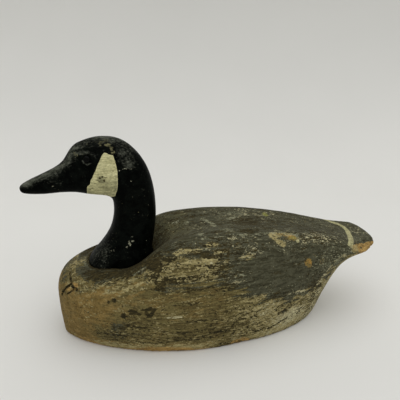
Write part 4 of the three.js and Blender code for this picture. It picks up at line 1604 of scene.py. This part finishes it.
@dataclass
class HeadAndNeck(CarvedBlock):
    """The head, bill and neck, carved in one, with the cream cheek patch.

    Attributes:
        cheek: the patch's outline from the side, as length and height.
        flare: how far the foot of the neck widens to each side.
        foot: how far the lowest of it stands out all round.
    """

    node: str = "head_and_neck"
    piece: str = "carved_head"
    slot: str = "head_paint"
    facet: float = 1.05
    sharp: float = 40.0
    fairing: int = 5
    finish: PaintedWood = HEAD_FINISH
    flare: float = 3.0
    foot: float = 0.9
    weathering: Weathering = Weathering((4.0, 3.0, 26.0), 0.07, 1300.0, 2.0, 0.22, 9)
    cheek: tuple[tuple[float, float], ...] = (
        (-165.3, 308.2), (-159.1, 305.9), (-152.7, 304.3), (-149.7, 292.6), (-148.1, 279.4),
        (-148.5, 265.6), (-150.8, 250.9), (-154.5, 240), (-165, 234), (-196, 240), (-194.2, 256.5),
        (-193.4, 259), (-188.8, 262.8), (-187.1, 269.2), (-181.9, 278.5), (-176.6, 289.6), (-171.2, 300.1),
        (-168.3, 305.4),
    )
    grooves: tuple[Groove, ...] = (
        # The brow over each eye.
        *(
            Groove(
                (
                    (-206.5, 16.4 * side, 309.1),
                    (-199.2, 18.2 * side, 310.7),
                    (-187.7, 20.2 * side, 312.2),
                    (-175.3, 25.0 * side, 307.0),
                ),
                4.5,
                0.9,
            )
            for side in (-1, 1)
        ),
        # The lower lid of each, raised a little less on the right.
        *(
            Groove(
                ((-194, 26.2 * side, 295.4), (-190, 27.4 * side, 292.6), (-184, 28.2 * side, 293.2)),
                3.0,
                -rise,
            )
            for side, rise in ((-1, 0.9), (1, 0.7))
        ),
        # The nick in the bill.
        Groove(((-244, -15.6, 259.6), (-241, -16.2, 258.8)), 2.2, 0.7),
    )
    marks: Marks = field(default_factory=HEAD_MARKS.copy)

    def reshape(self, points: np.ndarray) -> np.ndarray:
        """Flares the foot of the neck a little at its sides, where it is let into the body.

        Args:
            points: the blank's places.

        Returns:
            Where each is moved to.
        """
        x, y, z = points.T
        low = smoothstep(158.0, 132.0, z) * smoothstep(-190.0, -150.0, x)
        moved = points.copy()
        moved[:, 1] += np.sign(y) * self.flare * low * smoothstep(4.0, 30.0, np.abs(y))
        away = np.c_[x + 150.0, y]
        away /= np.linalg.norm(away, axis=1)[:, None] + 1e-6
        moved[:, :2] += self.foot * away * smoothstep(150.0, 136.0, z)[:, None]
        return moved

    def covers(self, points: np.ndarray, outward: np.ndarray) -> dict[Layer, np.ndarray]:
        """Lays out the black paint, the cheek patch, the handling wear, the painted sheen on the upward faces
        and the painted shade over the lower cheek.

        Args:
            points: the piece's places.
            outward: the way out at each.

        Returns:
            Each layer's cover at each place.
        """
        x, y, z = points.T
        up = outward[:, 2]
        cloud = Unevenness((16.0, 12.0, 16.0), 31, 2).at(points)
        fine = Unevenness((6.0, 5.0, 4.0), 32, 2).at(points)
        inside = inside_outline(x + 0.5 * fine, z + 0.35 * fine, self.cheek)
        cheek = np.clip(0.5 + inside / 1.6, -0.3, 1.3)
        crown = smoothstep(0.35, 0.85, up) * smoothstep(290.0, 312.0, z)
        return {
            Layer.BLACK: np.full(len(points), 1.0),
            Layer.CHEEK: cheek,
            # Painted shade: a grey film over the cheek, thicker towards its lower edge.
            Layer.SLATE_AND_SHADE: -0.8 + (inside > 0.5) * (0.55 + 0.95 * smoothstep(285.0, 250.0, z) + 0.3 * cloud),
            # Painted sheen on the crown and on every upward face.
            Layer.DUST_AND_SHEEN: -0.36 + 0.20 * cloud + 0.40 * crown + 0.25 * smoothstep(0.1, 0.7, up),
            Layer.EARTH: -0.35 + 0.16 * cloud + 0.24 * crown,
            Layer.SCUFF_AND_HIGHLIGHT: -0.42 + 0.06 * fine,
            Layer.GRIME_AND_SHADE: -0.30 + 0.22 * (inside > 0.0) * (1.0 + fine),
        }


@dataclass
class TackEyes:
    """Two domed tack eyes, set square to the head.

    Attributes:
        nodes: the solids that they stand for.
        piece: their own name.
        slot: the record's material slot; not used.
        radius: the dome's radius.
        rise: how far the dome stands out of the wood.
        finish: their enamel.
    """

    nodes: tuple[str, str] = ("eye_left", "eye_right")
    piece: str = "tack_eyes"
    slot: str = "eye_enamel"
    radius: float = 4.9
    rise: float = 2.35
    finish: BlackEnamel = BlackEnamel()

    def seat(self, node: str) -> tuple[Vector, Vector]:
        """Finds where an eye sits, from the two poles of its solid.

        Args:
            node: the eye's solid.

        Returns:
            The middle of its seat on the head, and the way that it looks.
        """
        solid = bmesh.new()
        solid.from_mesh(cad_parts[node].data)
        bmesh.ops.remove_doubles(solid, verts=solid.verts, dist=WELD)
        poles = sorted(solid.verts, key=lambda corner: len(corner.link_faces))[-2:]
        top, end = (corner.co.copy() for corner in sorted(poles, key=lambda corner: -abs(corner.co.y)))
        solid.free()
        looks = (top - end).normalized()
        return top - looks * self.rise * MM, looks

    @staticmethod
    def tree() -> bpy.types.NodeTree:
        """Builds the node tree that sets a dome on each seat.

        Returns:
            The tree, whose inputs are named for what they set.
        """
        inputs = {"Radius": "Float", "Rise": "Float", "Material": "Material"}
        tree, given = begin_tree("domes_on_seats", inputs)
        ball = add_node(tree, "GeometryNodeMeshUVSphere", {"Segments": 48, "Rings": 24, "Radius": 1.0})
        links = {"X": given["Radius"], "Y": given["Radius"], "Z": given["Rise"]}
        size = add_node(tree, "ShaderNodeCombineXYZ", links).outputs["Vector"]
        links = {"Geometry": ball.outputs["Mesh"], "Scale": size}
        dome = add_node(tree, "GeometryNodeTransform", links).outputs["Geometry"]
        aim = add_node(tree, "GeometryNodeInputNamedAttribute", {"Name": "looks"}, data_type="FLOAT_VECTOR")
        links = {"Vector": aim.outputs["Attribute"]}
        turn = add_node(tree, "FunctionNodeAlignRotationToVector", links, axis="Z")
        links = {"Points": given["Geometry"], "Instance": dome, "Rotation": turn.outputs["Rotation"]}
        set_in = add_node(tree, "GeometryNodeInstanceOnPoints", links).outputs["Instances"]
        end_tree(tree, set_in, given["Material"])
        return tree

    def build(self) -> bpy.types.Object:
        """Makes both eyes and hands them to the frame.

        Returns:
            The finished piece.
        """
        seats = [self.seat(node) for node in self.nodes]
        mesh = bpy.data.meshes.new(self.piece)
        mesh.from_pydata([place for place, _ in seats], [], [])
        looks = mesh.attributes.new("looks", "FLOAT_VECTOR", "POINT")
        looks.data.foreach_set("vector", [share for _, way in seats for share in way])
        piece = link_piece(self.piece, mesh)
        settings = {"Radius": self.radius * MM, "Rise": self.rise * MM, "Material": self.finish.material()}
        run_nodes(piece, self.tree(), settings)
        piece.data.shade_smooth()
        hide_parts(*self.nodes)
        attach(piece, "root")
        return piece


@dataclass
class Studio:
    """A plain pale sweep of paper, soft light from above and the camera.

    Attributes:
        camera_place: where the camera stands.
        pitch: how far it looks down, in degrees.
        pan: how far it is turned towards the tail, in degrees.
        lens: its focal length.
        sensor: how wide its frame is.
        reach: how far the paper goes to the sides and to the front, in metres.
        cove_start: how far behind the decoy it starts to rise, in metres.
        cove: the radius of the curve that it rises on, in metres.
        height: how high it goes, in metres.
        cove_steps: how many flat stretches the curve is made of.
        paper: the floor's two near-equal tones.
        cloud: the size of a blotch of either tone.
        sky: the level of the light from all round.
        sky_colour: its colour.
        sun: the level of the light from above.
        sun_tilt: how far the light leans, in degrees, about X and about Y.
        sun_spread: how wide the light is, in degrees.
    """

    camera_place: Point = (-131.23, -627.36, 466.6)
    pitch: float = 21.5
    pan: float = 10.0
    lens: float = 37.8
    sensor: float = 36.0
    reach: float = 3.0
    cove_start: float = 0.55
    cove: float = 0.75
    height: float = 1.6
    cove_steps: int = 24
    paper: Shades = ("e3e2de", "dfdeda")
    cloud: Point = (300.0, 300.0, 300.0)
    sky: float = 0.52
    sky_colour: str = "f2f3f1"
    sun: float = 1.5
    sun_tilt: tuple[float, float] = (10.0, 7.0)
    sun_spread: float = 90.0

    def camera(self) -> bpy.types.Object:
        """Sets up the camera.

        Returns:
            The camera.
        """
        camera = bpy.data.objects.new("camera", bpy.data.cameras.new("camera"))
        camera.data.lens = self.lens
        camera.data.sensor_width = self.sensor
        camera.location = Vector(self.camera_place) * MM
        camera.rotation_euler = (math.radians(90.0 - self.pitch), 0.0, math.radians(-self.pan))
        bpy.context.scene.collection.objects.link(camera)
        bpy.context.scene.camera = camera
        return camera

    def paper_material(self) -> bpy.types.Material:
        """Makes the matt paper: pale and even, with hardly any tone of its own.

        Returns:
            The material.
        """
        material = new_material("matt_paper")
        tree = material.node_tree
        links = {"Factor": pattern(tree, self.cloud, 1.0), 6: linear(self.paper[0]), 7: linear(self.paper[1])}
        colour = add_node(tree, "ShaderNodeMix", links, data_type="RGBA").outputs[2]
        end_material(tree, {"Base Color": colour, "Roughness": 0.9, "Specular IOR Level": 0.1})
        return material

    def sweep(self) -> bpy.types.Object:
        """Makes the floor, which curves up into a backdrop behind the decoy.

        Returns:
            The floor.
        """
        turn = math.radians(self.pan)
        across = Vector((math.cos(turn), -math.sin(turn), 0.0))
        away = Vector((math.sin(turn), math.cos(turn), 0.0))
        profile = [(-self.reach, 0.0), (self.cove_start, 0.0)]
        for step in range(1, self.cove_steps + 1):
            bend = math.radians(90.0 / self.cove_steps * step)
            rise = self.cove * (1.0 - math.cos(bend))
            profile.append((self.cove_start + self.cove * math.sin(bend), rise))
        profile.append((self.cove_start + self.cove, self.height))
        corners = []
        for far, up in profile:
            middle = away * far + Vector((0.0, 0.0, up))
            corners += [middle - across * self.reach, middle + across * self.reach]
        faces = [(2 * row, 2 * row + 1, 2 * row + 3, 2 * row + 2) for row in range(len(profile) - 1)]
        mesh = bpy.data.meshes.new("floor")
        mesh.from_pydata(corners, [], faces)
        mesh.materials.append(self.paper_material())
        mesh.shade_smooth()
        return link_piece("floor", mesh)

    def build(self) -> None:
        """Sets out the floor, the light and the camera."""
        self.sweep()
        world = bpy.data.worlds.new("studio")
        world.use_nodes = True
        backdrop = world.node_tree.nodes["Background"]
        backdrop.inputs["Color"].default_value = linear(self.sky_colour)
        backdrop.inputs["Strength"].default_value = self.sky
        bpy.context.scene.world = world
        lamp = bpy.data.lights.new("soft_light", "SUN")
        lamp.energy = self.sun
        lamp.angle = math.radians(self.sun_spread)
        light = bpy.data.objects.new("soft_light", lamp)
        light.rotation_euler = (*map(math.radians, self.sun_tilt), 0.0)
        bpy.context.scene.collection.objects.link(light)
        bpy.context.scene.view_settings.view_transform = "Standard"
        self.camera()


def main() -> None:
    """Builds the studio and every piece, in order."""
    logging.basicConfig(level=logging.INFO, format="%(name)s: %(message)s")
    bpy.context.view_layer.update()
    Studio().build()
    for part in (DecoyBody(), HeadAndNeck(), TackEyes()):
        piece = part.build()
        log.info("%s: %d faces", piece.name, len(piece.data.polygons))


if __name__ == "__main__":
    main()
